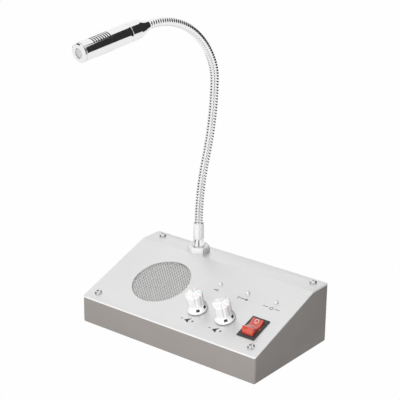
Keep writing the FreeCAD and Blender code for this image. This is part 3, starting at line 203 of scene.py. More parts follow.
class Graph:
    """A node tree under construction: add makes a node, then wires or sets its sockets."""

    def __init__(self, tree):
        self.tree = tree

    def feed(self, socket, value):
        if isinstance(value, Term):
            value = value.socket
        if isinstance(value, bpy.types.Node):
            value = value.outputs[0]
        if isinstance(value, bpy.types.NodeSocket):
            self.tree.links.new(value, socket)
        else:
            socket.default_value = value

    def add(self, kind, wires=None, **settings):
        made = self.tree.nodes.new(kind)
        for key, value in settings.items():
            setattr(made, key, value)
        for key, value in (wires or {}).items():
            self.feed(made.inputs[key], value)
        return made

    def math(self, operation, *values, clamp=False):
        made = self.add("ShaderNodeMath", dict(enumerate(values)), operation=operation, use_clamp=clamp)
        return Term(self, made.outputs[0])

    def vector(self, operation, *values):
        return self.add("ShaderNodeVectorMath", dict(enumerate(values)), operation=operation).outputs["Vector"]

    def scaled(self, vector, factor):
        wires = {"Vector": vector, "Scale": factor}
        return self.add("ShaderNodeVectorMath", wires, operation="SCALE").outputs[0]

    def split(self, vector):
        parts = self.add("ShaderNodeSeparateXYZ", {"Vector": vector}).outputs
        return [Term(self, part) for part in parts]

    def mix(self, factor, first, second):
        return self.add("ShaderNodeMix", {0: factor, 6: first, 7: second}, data_type="RGBA").outputs[2]

    def remap(self, value, low, high, to_low, to_high):
        wires = {"Value": value, "From Min": low, "From Max": high, "To Min": to_low, "To Max": to_high}
        return Term(self, self.add("ShaderNodeMapRange", wires).outputs[0])

    def noise(self, vector, size, detail, **more):
        wires = {"Vector": vector, "Scale": 1.0 / size, "Detail": detail}
        if more:
            wires.update({"W": more["seed"], "Roughness": more["roughness"]})
        made = self.add("ShaderNodeTexNoise", None, noise_dimensions="4D" if more else "3D")
        for key, value in wires.items():
            self.feed(made.inputs[key], value)
        return Term(self, made.outputs[0])


class Group(Graph):
    """A node group: given holds what it takes in, by name, and give hands its results out."""

    def __init__(self, name, kind, inputs, outputs):
        super().__init__(bpy.data.node_groups.new(name, kind))
        new_socket = self.tree.interface.new_socket
        for label, socket_type, value in inputs:
            socket = new_socket(name=label, in_out="INPUT", socket_type=socket_type)
            if value is not None:
                socket.default_value = value
        for label, socket_type in outputs:
            new_socket(name=label, in_out="OUTPUT", socket_type=socket_type)
        self.given = {socket.name: Term(self, socket) for socket in self.add("NodeGroupInput").outputs}
        self.exit = self.add("NodeGroupOutput").inputs

    def give(self, **results):
        for name, value in results.items():
            self.feed(self.exit[name], value)
        return self.tree


def graph_of(owner):
    """Empties the node tree of a material or a world, and returns its graph."""
    owner.use_nodes = True
    owner.node_tree.nodes.clear()
    return Graph(owner.node_tree)


def linked(name, data):
    """New object in the scene."""
    made = bpy.data.objects.new(name, data)
    bpy.context.scene.collection.objects.link(made)
    return made


# ---- camera and stage
AZIMUTH, ELEVATION, ROLL = (math.radians(angle) for angle in (37.960, 20.389, 0.714))
CAMERA_TARGET = Vector((-4.302, BASE_MIDDLE, 105.205)) * MM
CAMERA_DISTANCE = 0.95666
CAMERA_LENS = 118.085
WHITE = (1, 1, 1, 1)
PAPER = (0.55, 0.545, 0.55, 1)
FLOOR_TO_CAMERA = 0.985
FLOOR_TO_MIRRORS = 0.92
FLOOR_GAP = 0.002
SKY_LIGHT = 0.20
LIGHT_AIM = (0.0, 0.0, 0.06)
# Each lamp: its place, its width and height, and its power in watts.
LIGHTS = {"key": ((0.46, -1.61, 0.96), 1.1, 35.5),
          "fill": ((-1.30, 1.50, 1.00), 1.2, 11.0)}
CARD_DISTANCE = 0.9
CARD_SHADE = (0.03, 0.03, 0.03, 1)
CARD_STEPS = 12
# Each card's stations: a bearing from the front, its low and high edge there, and how far its foot lies inward.
CARDS = {
    "rear_card": [(110, 0.125, 0.8, 0.0), (121, 0.125, 1.1, 0.0), (128, FLOOR_GAP, 1.29, 0.16),
                  (137, FLOOR_GAP, 1.51, 0.16), (145.5, FLOOR_GAP, 1.92, 0.16), (160, FLOOR_GAP, 1.60, 0.1),
                  (188, 0.28, 1.10, 0.0)],
    "high_card": [(92, 0.65, 0.95, 0.0), (111, 0.55, 1.10, 0.0)],
    "left_card": [(-70, FLOOR_GAP, 1.3, 0.15), (-27, FLOOR_GAP, 1.3, 0.15)],
    "left_skirting": [(-150, FLOOR_GAP, 0.14, 0.1), (-58, FLOOR_GAP, 0.14, 0.1)],
    "right_skirting": [(128, FLOOR_GAP, 0.14, 0.1), (210, FLOOR_GAP, 0.14, 0.1)],
    "narrow_card": [(34, FLOOR_GAP, 1.3, 0.3), (54, FLOOR_GAP, 1.3, 0.3)],
}


def make_camera():
    level = math.cos(ELEVATION)
    back = Vector((math.sin(AZIMUTH) * level, -math.cos(AZIMUTH) * level, math.sin(ELEVATION)))
    right = (-back).cross(Vector((0, 0, 1))).normalized()
    up = right.cross(-back)
    turned_right = right * math.cos(ROLL) + up * math.sin(ROLL)
    turned_up = up * math.cos(ROLL) - right * math.sin(ROLL)
    data = bpy.data.cameras.new("camera")
    data.sensor_width = 36.0
    data.lens = CAMERA_LENS
    data.clip_start, data.clip_end = 0.05, 20.0
    camera = linked("camera", data)
    turn = Matrix((turned_right, turned_up, back)).transposed().to_4x4()
    camera.matrix_world = Matrix.Translation(CAMERA_TARGET + back * CAMERA_DISTANCE) @ turn
    bpy.context.scene.camera = camera


def make_light(name, place, size, power):
    data = bpy.data.lights.new(name, "AREA")
    data.shape = "RECTANGLE"
    data.size = data.size_y = size
    data.energy = power
    light = linked(name, data)
    light.location = place
    light.visible_glossy = False
    light.rotation_euler = (Vector(LIGHT_AIM) - Vector(place)).to_track_quat("-Z", "Y").to_euler()


def make_floor():
    """White table, a little brighter to the camera than its light alone makes it."""
    bpy.ops.mesh.primitive_plane_add(size=6.0)
    floor = bpy.context.object
    floor.name = "floor"
    material = bpy.data.materials.new("floor_white")
    graph = graph_of(material)
    rays = graph.add("ShaderNodeLightPath").outputs
    paper = graph.add("ShaderNodeBsdfDiffuse", {"Color": PAPER})
    glow = graph.add("ShaderNodeEmission", {"Color": WHITE, "Strength": 1.0})
    seen = graph.math("MAXIMUM", rays["Is Camera Ray"], rays["Is Transmission Ray"])
    share = graph.math("MAXIMUM", seen * FLOOR_TO_CAMERA,
                       graph.math("MULTIPLY", rays["Is Glossy Ray"], FLOOR_TO_MIRRORS))
    mixed = graph.add("ShaderNodeMixShader", {0: share, 1: paper, 2: glow})
    graph.add("ShaderNodeOutputMaterial", {"Surface": mixed})
    floor.data.materials.append(material)


def make_card(name, stations):
    """Curved dark card round the gooseneck that only shows in reflections."""
    spots = []
    for first, last in zip(stations, stations[1:]):
        for k in range(CARD_STEPS + 1):
            bearing, low, high, foot = [a + (b - a) * k / CARD_STEPS for a, b in zip(first, last)]
            across, ahead = math.sin(math.radians(bearing)), -math.cos(math.radians(bearing))
            profile = (CARD_DISTANCE - foot, low), (CARD_DISTANCE, low), (CARD_DISTANCE, high)
            spots += [(NECK_X * MM + reach * across, (BASE_MIDDLE + NECK_Y) * MM + reach * ahead, z)
                      for reach, z in profile]
    faces = [(k, k + 3, k + 4, k + 1) for k in range(len(spots) - 3) if k % 3 < 2]
    mesh = bpy.data.meshes.new(name)
    mesh.from_pydata(spots, [], faces)
    card = linked(name, mesh)
    material = bpy.data.materials.new(name)
    graph = graph_of(material)
    glow = graph.add("ShaderNodeEmission", {"Color": CARD_SHADE, "Strength": 1.0})
    graph.add("ShaderNodeOutputMaterial", {"Surface": glow})
    mesh.materials.append(material)
    card.visible_camera = card.visible_diffuse = card.visible_shadow = card.visible_transmission = False


def make_stage():
    make_floor()
    scene = bpy.context.scene
    scene.world = bpy.data.worlds.new("studio")
    graph = graph_of(scene.world)
    rays = graph.add("ShaderNodeLightPath").outputs
    seen = graph.math("MAXIMUM", rays["Is Camera Ray"], rays["Is Glossy Ray"])
    seen = graph.math("MAXIMUM", seen, rays["Is Transmission Ray"])
    strength = graph.remap(seen, 0.0, 1.0, SKY_LIGHT, 1.0)
    light = graph.add("ShaderNodeBackground", {"Color": WHITE, "Strength": strength})
    graph.add("ShaderNodeOutputWorld", {"Surface": light})
    scene.view_settings.view_transform = "Standard"
    for name, settings in LIGHTS.items():
        make_light(name, *settings)
    for name, stations in CARDS.items():
        make_card(name, stations)


make_camera()
make_stage()

# ---- effects that several finishes share
NUMBER = "NodeSocketFloat"


def object_place(graph):
    return graph.add("ShaderNodeTexCoord").outputs["Object"]


def grain_group():
    """Fine and broad mottling of a surface, from its own place on the object."""
    group = Group("surface_grain", "ShaderNodeTree",
                  [("Grain Size", NUMBER, 0.0004), ("Patch Size", NUMBER, 0.02), ("Seed", NUMBER, 0.0)],
                  [("Grain", NUMBER), ("Patches", NUMBER), ("Blend", NUMBER)])
    place, seed = object_place(group), group.given["Seed"]
    fine = group.noise(place, group.given["Grain Size"], 2.0, seed=seed, roughness=0.55)
    broad = group.noise(place, group.given["Patch Size"], 4.0, seed=seed, roughness=0.6)
    return group.give(Grain=fine, Patches=broad, Blend=fine * 0.45 + broad * 0.55)


def hairline_group():
    """Hairlines that run with one axis of the object, for drawn and polished metal."""
    group = Group("hairlines", "ShaderNodeTree",
                  [("Stretch", "NodeSocketVector", (1.0, 1.0, 1.0)), ("Width", NUMBER, 0.0002)],
                  [("Lines", NUMBER)])
    pulled = group.vector("MULTIPLY", object_place(group), group.given["Stretch"])
    return group.give(Lines=group.noise(pulled, group.given["Width"], 2.0))


def wear_group():
    """Mask of the edges that hands and cloths reach, broken up by noise."""
    group = Group("edge_wear", "ShaderNodeTree",
                  [("Start", NUMBER, 0.53), ("Full", NUMBER, 0.62), ("Break Up", NUMBER, 0.003)],
                  [("Mask", NUMBER)])
    edge = group.add("ShaderNodeNewGeometry").outputs["Pointiness"]
    ramp = group.remap(edge, group.given["Start"], group.given["Full"], 0.0, 1.0)
    patches = group.noise(object_place(group), group.given["Break Up"], 3.0)
    broken = group.remap(patches, 0.42, 0.6, 0.0, 1.0)
    return group.give(Mask=group.math("MULTIPLY", ramp, broken, clamp=True))


GRAIN = grain_group()
HAIRLINES = hairline_group()
EDGE_WEAR = wear_group()

# ---- finishes
# Each finish by the record's material slot or by its own name: its light and its dark colour, its least and
# greatest roughness, and what else it sets.
FINISHES = {
    "tray_paint": ((0.318, 0.294, 0.279), (0.302, 0.279, 0.264), (0.42, 0.52),
                   dict(grain=0.0005, patch=0.03, bump=0.000012, specular_ior_level=0.45)),
    "panel_metal": ((0.83, 0.83, 0.828), (0.81, 0.81, 0.809), (0.38, 0.43),
                    dict(grain=0.00022, patch=0.05, bump=0.0000015, metallic=0.85)),
    # The lid's cut edges and their rounds: painted lighter and less metallic than the sheet, a painted
    # highlight along the edges.
    "panel_edge": ((0.95, 0.95, 0.945), (0.91, 0.91, 0.905), (0.30, 0.38),
                   dict(grain=0.0003, patch=0.004, bump=0.000002, metallic=0.15)),
    "zinc_steel": ((0.62, 0.63, 0.64), (0.50, 0.52, 0.55), (0.28, 0.42),
                   dict(grain=0.0006, patch=0.006, bump=0.000008, metallic=1.0)),
    "screw_steel": ((0.86, 0.86, 0.86), (0.74, 0.74, 0.75), (0.16, 0.26),
                    dict(grain=0.0003, patch=0.003, bump=0.000005, metallic=1.0)),
    "rubber": ((0.030, 0.030, 0.031), (0.050, 0.049, 0.048), (0.65, 0.80),
               dict(grain=0.0005, patch=0.006, bump=0.00003)),
    "foam": ((0.045, 0.045, 0.046), (0.075, 0.075, 0.075), (0.85, 0.95),
             dict(grain=0.0006, patch=0.004, bump=0.00012)),
    "grille_metal": ((0.87, 0.865, 0.86), (0.83, 0.825, 0.82), (0.34, 0.42),
                     dict(grain=0.0003, patch=0.01, bump=0.000003, metallic=0.4)),
    "cone_paper": ((0.030, 0.030, 0.031), (0.055, 0.053, 0.050), (0.75, 0.90),
                   dict(grain=0.0007, patch=0.006, bump=0.00006)),
    "copper": ((0.62, 0.27, 0.12), (0.50, 0.20, 0.09), (0.22, 0.34),
               dict(grain=0.0002, patch=0.002, hairlines=((0.05, 0.05, 1.0), 0.0002, 0.1), metallic=1.0)),
    "ferrite": ((0.040, 0.040, 0.043), (0.065, 0.064, 0.064), (0.55, 0.75),
                dict(grain=0.0005, patch=0.005, bump=0.00003)),
    "white_plastic": ((0.975, 0.978, 0.970), (0.955, 0.959, 0.953), (0.24, 0.32),
                      dict(grain=0.0006, patch=0.008, bump=0.000005, subsurface_weight=0.12,
                           subsurface_scale=0.002, coat_weight=0.15, coat_roughness=0.12)),
    "shaft_metal": ((0.72, 0.72, 0.72), (0.60, 0.60, 0.61), (0.25, 0.4),
                    dict(patch=0.004, hairlines=((1.0, 1.0, 0.05), 0.0002, 0.08), metallic=1.0)),
    "clear_lens": ((0.97, 0.97, 0.975), (0.95, 0.955, 0.96), (0.03, 0.06),
                   dict(grain=0.0008, patch=0.002, bump=0.000001, transmission_weight=0.15, ior=1.50,
                        coat_weight=0.6, coat_roughness=0.04)),
    "black_plastic": ((0.036, 0.037, 0.039), (0.048, 0.049, 0.052), (0.34, 0.46),
                      dict(patch=0.006, wear=(0.54, 0.60, (0.07, 0.07, 0.075), 0.05))),
    "red_plastic": ((0.80, 0.100, 0.055), (0.70, 0.075, 0.042), (0.14, 0.24),
                    dict(grain=0.0008, patch=0.004, bump=0.000004, subsurface_weight=0.35,
                         subsurface_scale=0.003, transmission_weight=0.12, ior=1.49, coat_weight=1.0,
                         coat_roughness=0.12)),
    "brass": ((0.70, 0.52, 0.22), (0.58, 0.42, 0.17), (0.25, 0.38), dict(patch=0.004, metallic=1.0)),
    "circuit_board": ((0.010, 0.105, 0.045), (0.008, 0.080, 0.036), (0.30, 0.42),
                      dict(grain=0.0008, patch=0.005, bump=0.00002, coat_weight=0.3)),
    "capacitor_sleeve": ((0.012, 0.015, 0.045), (0.020, 0.022, 0.055), (0.22, 0.32), dict(patch=0.004)),
    "cream_plastic": ((0.72, 0.68, 0.54), (0.66, 0.62, 0.49), (0.38, 0.48), dict(patch=0.004)),
    "chrome": ((0.90, 0.90, 0.905), (0.87, 0.87, 0.885), (0.035, 0.075),
               dict(grain=0.0012, patch=0.012, bump=0.0000012, metallic=1.0)),
    "nut_chrome": ((0.90, 0.90, 0.90), (0.86, 0.86, 0.865), (0.12, 0.20),
                   dict(grain=0.0006, patch=0.004, bump=0.000002, metallic=0.25)),
    "coil_steel": ((0.93, 0.93, 0.93), (0.88, 0.88, 0.89), (0.06, 0.12),
                   dict(grain=0.0005, patch=0.008, bump=0.000002, metallic=1.0)),
    "mesh_steel": ((0.72, 0.72, 0.71), (0.64, 0.64, 0.63), (0.40, 0.52),
                   dict(grain=0.0002, patch=0.002, bump=0.000002, metallic=0.2)),
    "capsule_metal": ((0.62, 0.62, 0.63), (0.54, 0.54, 0.56), (0.3, 0.42), dict(patch=0.003, metallic=1.0)),
    "black_print": ((0.028, 0.028, 0.030), (0.050, 0.050, 0.052), (0.45, 0.60),
                    dict(grain=0.0003, patch=0.002, bump=0.000003)),
    "grey_print": ((0.17, 0.17, 0.17), (0.24, 0.24, 0.24), (0.45, 0.60),
                   dict(grain=0.0003, patch=0.002, bump=0.000003)),
    "white_print": ((0.90, 0.88, 0.86), (0.82, 0.78, 0.76), (0.40, 0.52),
                    dict(grain=0.0003, patch=0.002, bump=0.000003)),
    "lead_metal": ((0.55, 0.55, 0.56), (0.40, 0.40, 0.42), (0.2, 0.35), dict(patch=0.001, metallic=1.0)),
}


COLOUR_SPREAD = (0.36, 0.64)
GLOSS_SPREAD = (0.3, 0.7)
LINE_SPREAD = (0.35, 0.65)


def finish(name, light, dark, roughness, grain=0.0004, patch=0.02, bump=0.00001, wear=None, hairlines=None,
           **plain):
    """Material whose colour wanders between light and dark, with grain in its gloss and relief."""
    material = bpy.data.materials.new(name)
    graph = graph_of(material)
    shader = graph.add("ShaderNodeBsdfPrincipled")
    graph.add("ShaderNodeOutputMaterial", {"Surface": shader})
    seed = float(sum(map(ord, name)) % 97)
    mottle = graph.add("ShaderNodeGroup", {"Grain Size": grain, "Patch Size": patch, "Seed": seed},
                       node_tree=GRAIN).outputs
    share = graph.remap(mottle["Blend"], *COLOUR_SPREAD, 0.0, 1.0)
    colour = graph.mix(share, (*light, 1), (*dark, 1))
    gloss = graph.remap(mottle["Patches"], *GLOSS_SPREAD, *roughness)
    height = mottle["Grain"]
    if hairlines:
        stretch, width, strength = hairlines
        lines = graph.add("ShaderNodeGroup", {"Stretch": stretch, "Width": width}, node_tree=HAIRLINES)
        gloss += graph.remap(lines, *LINE_SPREAD, -strength, strength)
        height = graph.math("ADD", height, lines)
    if wear:
        start, full, bare, rougher = wear
        mask = graph.add("ShaderNodeGroup", {"Start": start, "Full": full}, node_tree=EDGE_WEAR).outputs[0]
        colour = graph.mix(mask, colour, (*bare, 1))
        gloss += graph.math("MULTIPLY", mask, rougher)
    relief = graph.add("ShaderNodeBump", {"Height": height, "Strength": 1.0, "Distance": bump})
    for key, value in (("Base Color", colour), ("Roughness", gloss), ("Normal", relief)):
        graph.feed(shader.inputs[key], value)
    for key, value in plain.items():
        shader.inputs[key.replace("_", " ").title().replace("Ior", "IOR")].default_value = value
    return material


FINISH = {name: finish(name, light, dark, roughness, **rest)
          for name, (light, dark, roughness, rest) in FINISHES.items()}


# ---- mesh helpers
def new_object(name, bm, placed=None):
    """Object at the origin from a bmesh in millimetres, with its place in its vertices."""
    bmesh.ops.remove_doubles(bm, verts=bm.verts, dist=1e-5)
    bmesh.ops.recalc_face_normals(bm, faces=bm.faces)
    mesh = bpy.data.meshes.new(name)
    bm.to_mesh(mesh)
    bm.free()
    mesh.transform(TO_METRES @ (placed or Matrix.Identity(4)))
    return linked(name, mesh)


def packed_shape(node):
    """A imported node's shape in millimetres, with its loose triangles merged into faces."""
    bm = bmesh.new()
    bm.from_mesh(frame["nodes"][node].data)
    bmesh.ops.remove_doubles(bm, verts=bm.verts, dist=1e-6)
    bmesh.ops.dissolve_limit(bm, angle_limit=math.radians(1), verts=bm.verts, edges=bm.edges)
    bmesh.ops.transform(bm, matrix=TO_MILLIMETRES, verts=bm.verts)
    return bm


def settled(obj):
    """Replaces an object's mesh by what its modifiers make of it, and clears them."""
    bpy.context.view_layer.update()
    graph = bpy.context.evaluated_depsgraph_get()
    mesh = bpy.data.meshes.new_from_object(obj.evaluated_get(graph))
    mesh.name = obj.name
    obj.modifiers.clear()
    if obj.type == "MESH":
        obj.data = mesh
        return obj
    made = linked(obj.name, mesh)
    bpy.data.objects.remove(obj)
    return made


def combined(obj, tools, operation):
    """Cuts the tools from obj, joins them to it or keeps what they share, then removes the tools."""
    for tool in tools:
        step = obj.modifiers.new(operation, "BOOLEAN")
        step.operation = operation
        step.solver = "EXACT"
        step.object = tool
    settled(obj)
    for tool in tools:
        bpy.data.objects.remove(tool)
    return obj


def softened(obj, width, segments=2, angle=40, finish_index=-1):
    """Rounds the edges sharper than the angle, width in millimetres; the rounds may take a second finish."""
    step = obj.modifiers.new("edges", "BEVEL")
    step.width = width * MM
    step.segments = segments
    step.limit_method = "ANGLE"
    step.angle_limit = math.radians(angle)
    step.harden_normals = False
    step.miter_outer = "MITER_ARC"
    step.material = finish_index
    return settled(obj)


def moved(obj, placed):
    """Carries a mesh that was made in metres to its frame in millimetres."""
    obj.data.transform(TO_METRES @ placed @ TO_MILLIMETRES)


def two_finishes(obj, first, second, takes_second):
    """Gives a mesh two finishes, by a test of each face."""
    obj.data.materials.clear()
    obj.data.materials.append(FINISH[first])
    obj.data.materials.append(FINISH[second])
    for face in obj.data.polygons:
        face.material_index = int(takes_second(face))


def shaded(mesh, sharp):
    """Smooth shading between the edges sharper than the angle."""
    mesh.polygons.foreach_set("use_smooth", [True] * len(mesh.polygons))
    mesh.set_sharp_from_angle(angle=math.radians(sharp))


def dressed(obj, material, body, slot, *nodes, sharp=38):
    """Gives a finished mesh its shading, finish and body, and hides the nodes it stands for.

    Without a material it keeps the finishes that it has. The slot it is given is not used.
    """
    shaded(obj.data, sharp)
    if material:
        obj.data.materials.clear()
        obj.data.materials.append(FINISH[material])
    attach(obj, body)
    if nodes:
        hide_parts(*nodes)
    return obj


def circle(radius, count=64):
    return [(radius * math.cos(math.tau * k / count), radius * math.sin(math.tau * k / count))
            for k in range(count)]


def ring(bm, radius, height, count):
    """Round of vertices about local Z, or one vertex on it."""
    if radius < 1e-9:
        return [bm.verts.new((0, 0, height))]
    return [bm.verts.new((*spot, height)) for spot in circle(radius, count)]


def bridge(bm, low, high, closed=True):
    """Faces between two rows of vertices: a row of one makes a tip."""
    count = max(len(low), len(high))
    if count == 1:
        return
    for k in range(count if closed else count - 1):
        j = (k + 1) % count
        corners = low[k % len(low)], low[j % len(low)], high[j % len(high)], high[k % len(high)]
        bm.faces.new(list(dict.fromkeys(corners)))


def turned(outline, segments=96):
    """Solid of revolution about local Z from a closed outline of (radius, height)."""
    bm = bmesh.new()
    rings = [ring(bm, radius, height, segments) for radius, height in outline]
    for low, high in zip(rings, rings[1:] + rings[:1]):
        bridge(bm, low, high)
    return bm


def eased(corners, steps=5):
    """Closed outline from corners of (across, up) or (across, up, radius), rounded where a radius is given."""
    points = []
    for k, (x, y, *given) in enumerate(corners):
        if not given:
            points.append((x, y))
            continue
        radius, = given
        here = Vector((x, y))
        back = (Vector(corners[k - 1][:2]) - here).normalized()
        ahead = (Vector(corners[(k + 1) % len(corners)][:2]) - here).normalized()
        half = math.acos(max(-1.0, min(1.0, back.dot(ahead)))) / 2
        centre = here + (back + ahead).normalized() * radius / math.sin(half)
        first = here + back * radius / math.tan(half) - centre
        last = here + ahead * radius / math.tan(half) - centre
        start = math.atan2(first.y, first.x)
        sweep = (math.atan2(last.y, last.x) - start + math.pi) % math.tau - math.pi
        points += [(centre.x + radius * math.cos(start + sweep * s / steps),
                    centre.y + radius * math.sin(start + sweep * s / steps)) for s in range(steps + 1)]
    return points


def prism(outline, low, high, along="Z"):
    """Solid from a closed outline drawn out along an axis: its two numbers are the other two axes in order."""
    spots = {"X": lambda a, b, c: (c, a, b), "Y": lambda a, b, c: (a, c, b), "Z": lambda a, b, c: (a, b, c)}
    bm = bmesh.new()
    first, last = [[bm.verts.new(spots[along](a, b, level)) for a, b in outline] for level in (low, high)]
    bm.faces.new(first)
    bm.faces.new(last)
    bridge(bm, first, last)
    return bm


def box(x0, x1, y0, y1, z0, z1):
    return prism([(x0, y0), (x1, y0), (x1, y1), (x0, y1)], z0, z1)


def together(solids):
    """Several solids as one bmesh."""
    bm = bmesh.new()
    mesh = bpy.data.meshes.new("part")
    for solid in solids:
        solid.to_mesh(mesh)
        solid.free()
        bm.from_mesh(mesh)
    bpy.data.meshes.remove(mesh)
    return bm


# ---- patterns made by node trees
GEOMETRY = "NodeSocketGeometry"
WHOLE = "NodeSocketInt"
MERGE_DISTANCE = 0.00001


class Pattern(Group):
    """Geometry tree with named sockets, whose result is real geometry in the finish that it is given."""

    def __init__(self, name, *inputs):
        super().__init__(name, "GeometryNodeTree", [*inputs, ("Finish", "NodeSocketMaterial", None)],
                         [("Mesh", GEOMETRY)])

    def merged(self, shape):
        return self.add("GeometryNodeMergeByDistance", {"Geometry": shape, "Distance": MERGE_DISTANCE})

    def real(self, shape):
        return self.add("GeometryNodeRealizeInstances", {"Geometry": shape})

    def joined(self, *shapes):
        both = self.add("GeometryNodeJoinGeometry")
        for shape in shapes:
            self.feed(both.inputs[0], shape)
        return both

    def vector_of(self, **parts):
        return self.add("ShaderNodeCombineXYZ", parts)

    def shown(self, shape):
        return self.give(Mesh=self.add("GeometryNodeSetMaterial", {"Geometry": self.real(shape),
                                                                   "Material": self.given["Finish"]}))


def coil_tree():
    """Wire wound turn against turn round a centreline, as one skin drawn in where two turns meet."""
    tree = Pattern("wound_wire", ("Centreline", GEOMETRY, None), ("Start", NUMBER, 0.0), ("End", NUMBER, 0.02),
                   ("Pitch", NUMBER, 0.0019), ("Coil Radius", NUMBER, 0.0033), ("Crown Radius", NUMBER, 0.0012),
                   ("Steps per Turn", WHOLE, 10), ("Sides", WHOLE, 36))
    given, pitch, crown = tree.given, tree.given["Pitch"], tree.given["Crown Radius"]
    first = tree.math("FLOOR", given["Start"] / pitch)
    turns = tree.math("CEIL", given["End"] / pitch) + 1.0 - first
    grid = tree.add("GeometryNodeMeshGrid", {"Size X": 1.0, "Size Y": 1.0, "Vertices Y": given["Sides"] + 1.0,
                                             "Vertices X": turns * given["Steps per Turn"] + 1.0})
    x, y, _ = tree.split(tree.add("GeometryNodeInputPosition"))
    lap = y + 0.5
    loose = (first + (x + 0.5) * turns - lap) * pitch
    distance = tree.math("MINIMUM", tree.math("MAXIMUM", loose, given["Start"]), given["End"])
    along = (tree.math("FRACT", distance / pitch + lap + 1e-4) - 0.5) * pitch
    radius = given["Coil Radius"] - crown + tree.math("SQRT", crown ** 2.0 - along ** 2.0)
    sample = tree.add("GeometryNodeSampleCurve", {"Curves": given["Centreline"], "Length": distance},
                      mode="LENGTH", use_all_curves=True).outputs
    around = lap * math.tau
    across = tree.vector("CROSS_PRODUCT", sample["Tangent"], sample["Normal"])
    outward = tree.vector("ADD", tree.scaled(sample["Normal"], tree.math("COSINE", around)),
                          tree.scaled(across, tree.math("SINE", around)))
    spot = tree.vector("ADD", sample["Position"], tree.scaled(outward, radius))
    skin = tree.add("GeometryNodeSetPosition", {"Geometry": grid, "Position": spot})
    return tree.shown(tree.merged(skin))


def perforated_tree():
    """Round perforated sheet: six-sided cells, each with a round hole, within a given reach."""
    tree = Pattern("perforated_sheet", ("Source", GEOMETRY, None), ("Pitch", NUMBER, 0.0019),
                   ("Hole Radius", NUMBER, 0.0006), ("Reach", NUMBER, 0.0238), ("Sheet", NUMBER, 0.0006),
                   ("Cells Across", WHOLE, 31), ("Hole Sides", WHOLE, 12))
    given, pitch, cells = tree.given, tree.given["Pitch"], tree.given["Cells Across"]
    hole = tree.add("GeometryNodeMeshCircle", {"Vertices": given["Hole Sides"], "Radius": given["Hole Radius"]})
    edges = tree.add("GeometryNodeExtrudeMesh", {"Mesh": hole, "Offset Scale": 0.0}, mode="EDGES")
    place = tree.add("GeometryNodeInputPosition").outputs[0]
    x, y, _ = tree.split(place)
    sixth = math.tau / 6
    turn = tree.math("ARCTAN2", y, x) % sixth - sixth / 2
    outward = tree.scaled(tree.vector("NORMALIZE", place), pitch / 2.0 / tree.math("COSINE", turn))
    cell = tree.add("GeometryNodeSetPosition", {"Geometry": edges, "Position": outward,
                                                "Selection": edges.outputs["Top"]})
    span = pitch * (cells - 1.0)
    row_height = math.sqrt(3) / 2
    grid = tree.add("GeometryNodeMeshGrid", {"Size X": span, "Size Y": span * row_height, "Vertices X": cells,
                                             "Vertices Y": cells})
    shift = tree.math("ROUND", y / (pitch * row_height)) % 2.0 * (pitch / 2.0)
    lattice = tree.add("GeometryNodeSetPosition", {"Geometry": grid, "Offset": tree.vector_of(X=shift)})
    far = tree.add("ShaderNodeVectorMath", {0: place}, operation="LENGTH").outputs["Value"]
    outside = tree.math("GREATER_THAN", far, given["Reach"])
    kept = tree.add("GeometryNodeDeleteGeometry", {"Geometry": lattice, "Selection": outside})
    placed = tree.add("GeometryNodeInstanceOnPoints", {"Points": kept, "Instance": cell})
    front = tree.merged(tree.real(placed))
    down = tree.vector_of(Z=given["Sheet"] * -1.0)
    deep = tree.add("GeometryNodeExtrudeMesh", {"Mesh": front, "Offset": down, "Offset Scale": 1.0,
                                                "Individual": False}, mode="FACES")
    back = tree.add("GeometryNodeFlipFaces", {"Mesh": front})
    return tree.shown(tree.merged(tree.joined(deep, back)))


def scatter_tree():
    """The same piece on each of the source's points, turned as the point's tilt attribute says."""
    tree = Pattern("set_out", ("Points", GEOMETRY, None), ("Piece", "NodeSocketObject", None),
                   ("Spin", NUMBER, 0.0), ("Seed", WHOLE, 1))
    given = tree.given
    piece = tree.add("GeometryNodeObjectInfo", {"Object": given["Piece"]}, transform_space="ORIGINAL")
    tilt = tree.add("GeometryNodeInputNamedAttribute", {"Name": "tilt"}, data_type="FLOAT_VECTOR")
    spin = tree.add("FunctionNodeRandomValue", {"Max": tree.vector_of(Z=given["Spin"]), "Seed": given["Seed"]},
                    data_type="FLOAT_VECTOR")
    to_turn, own_turn = [tree.add("FunctionNodeEulerToRotation", {"Euler": euler}) for euler in (tilt, spin)]
    turn = tree.add("FunctionNodeRotateRotation", {"Rotation": to_turn, "Rotate By": own_turn},
                    rotation_space="LOCAL")
    copies = tree.add("GeometryNodeInstanceOnPoints", {"Points": given["Points"], "Rotation": turn,
                                                       "Instance": piece.outputs["Geometry"]})
    return tree.shown(copies)


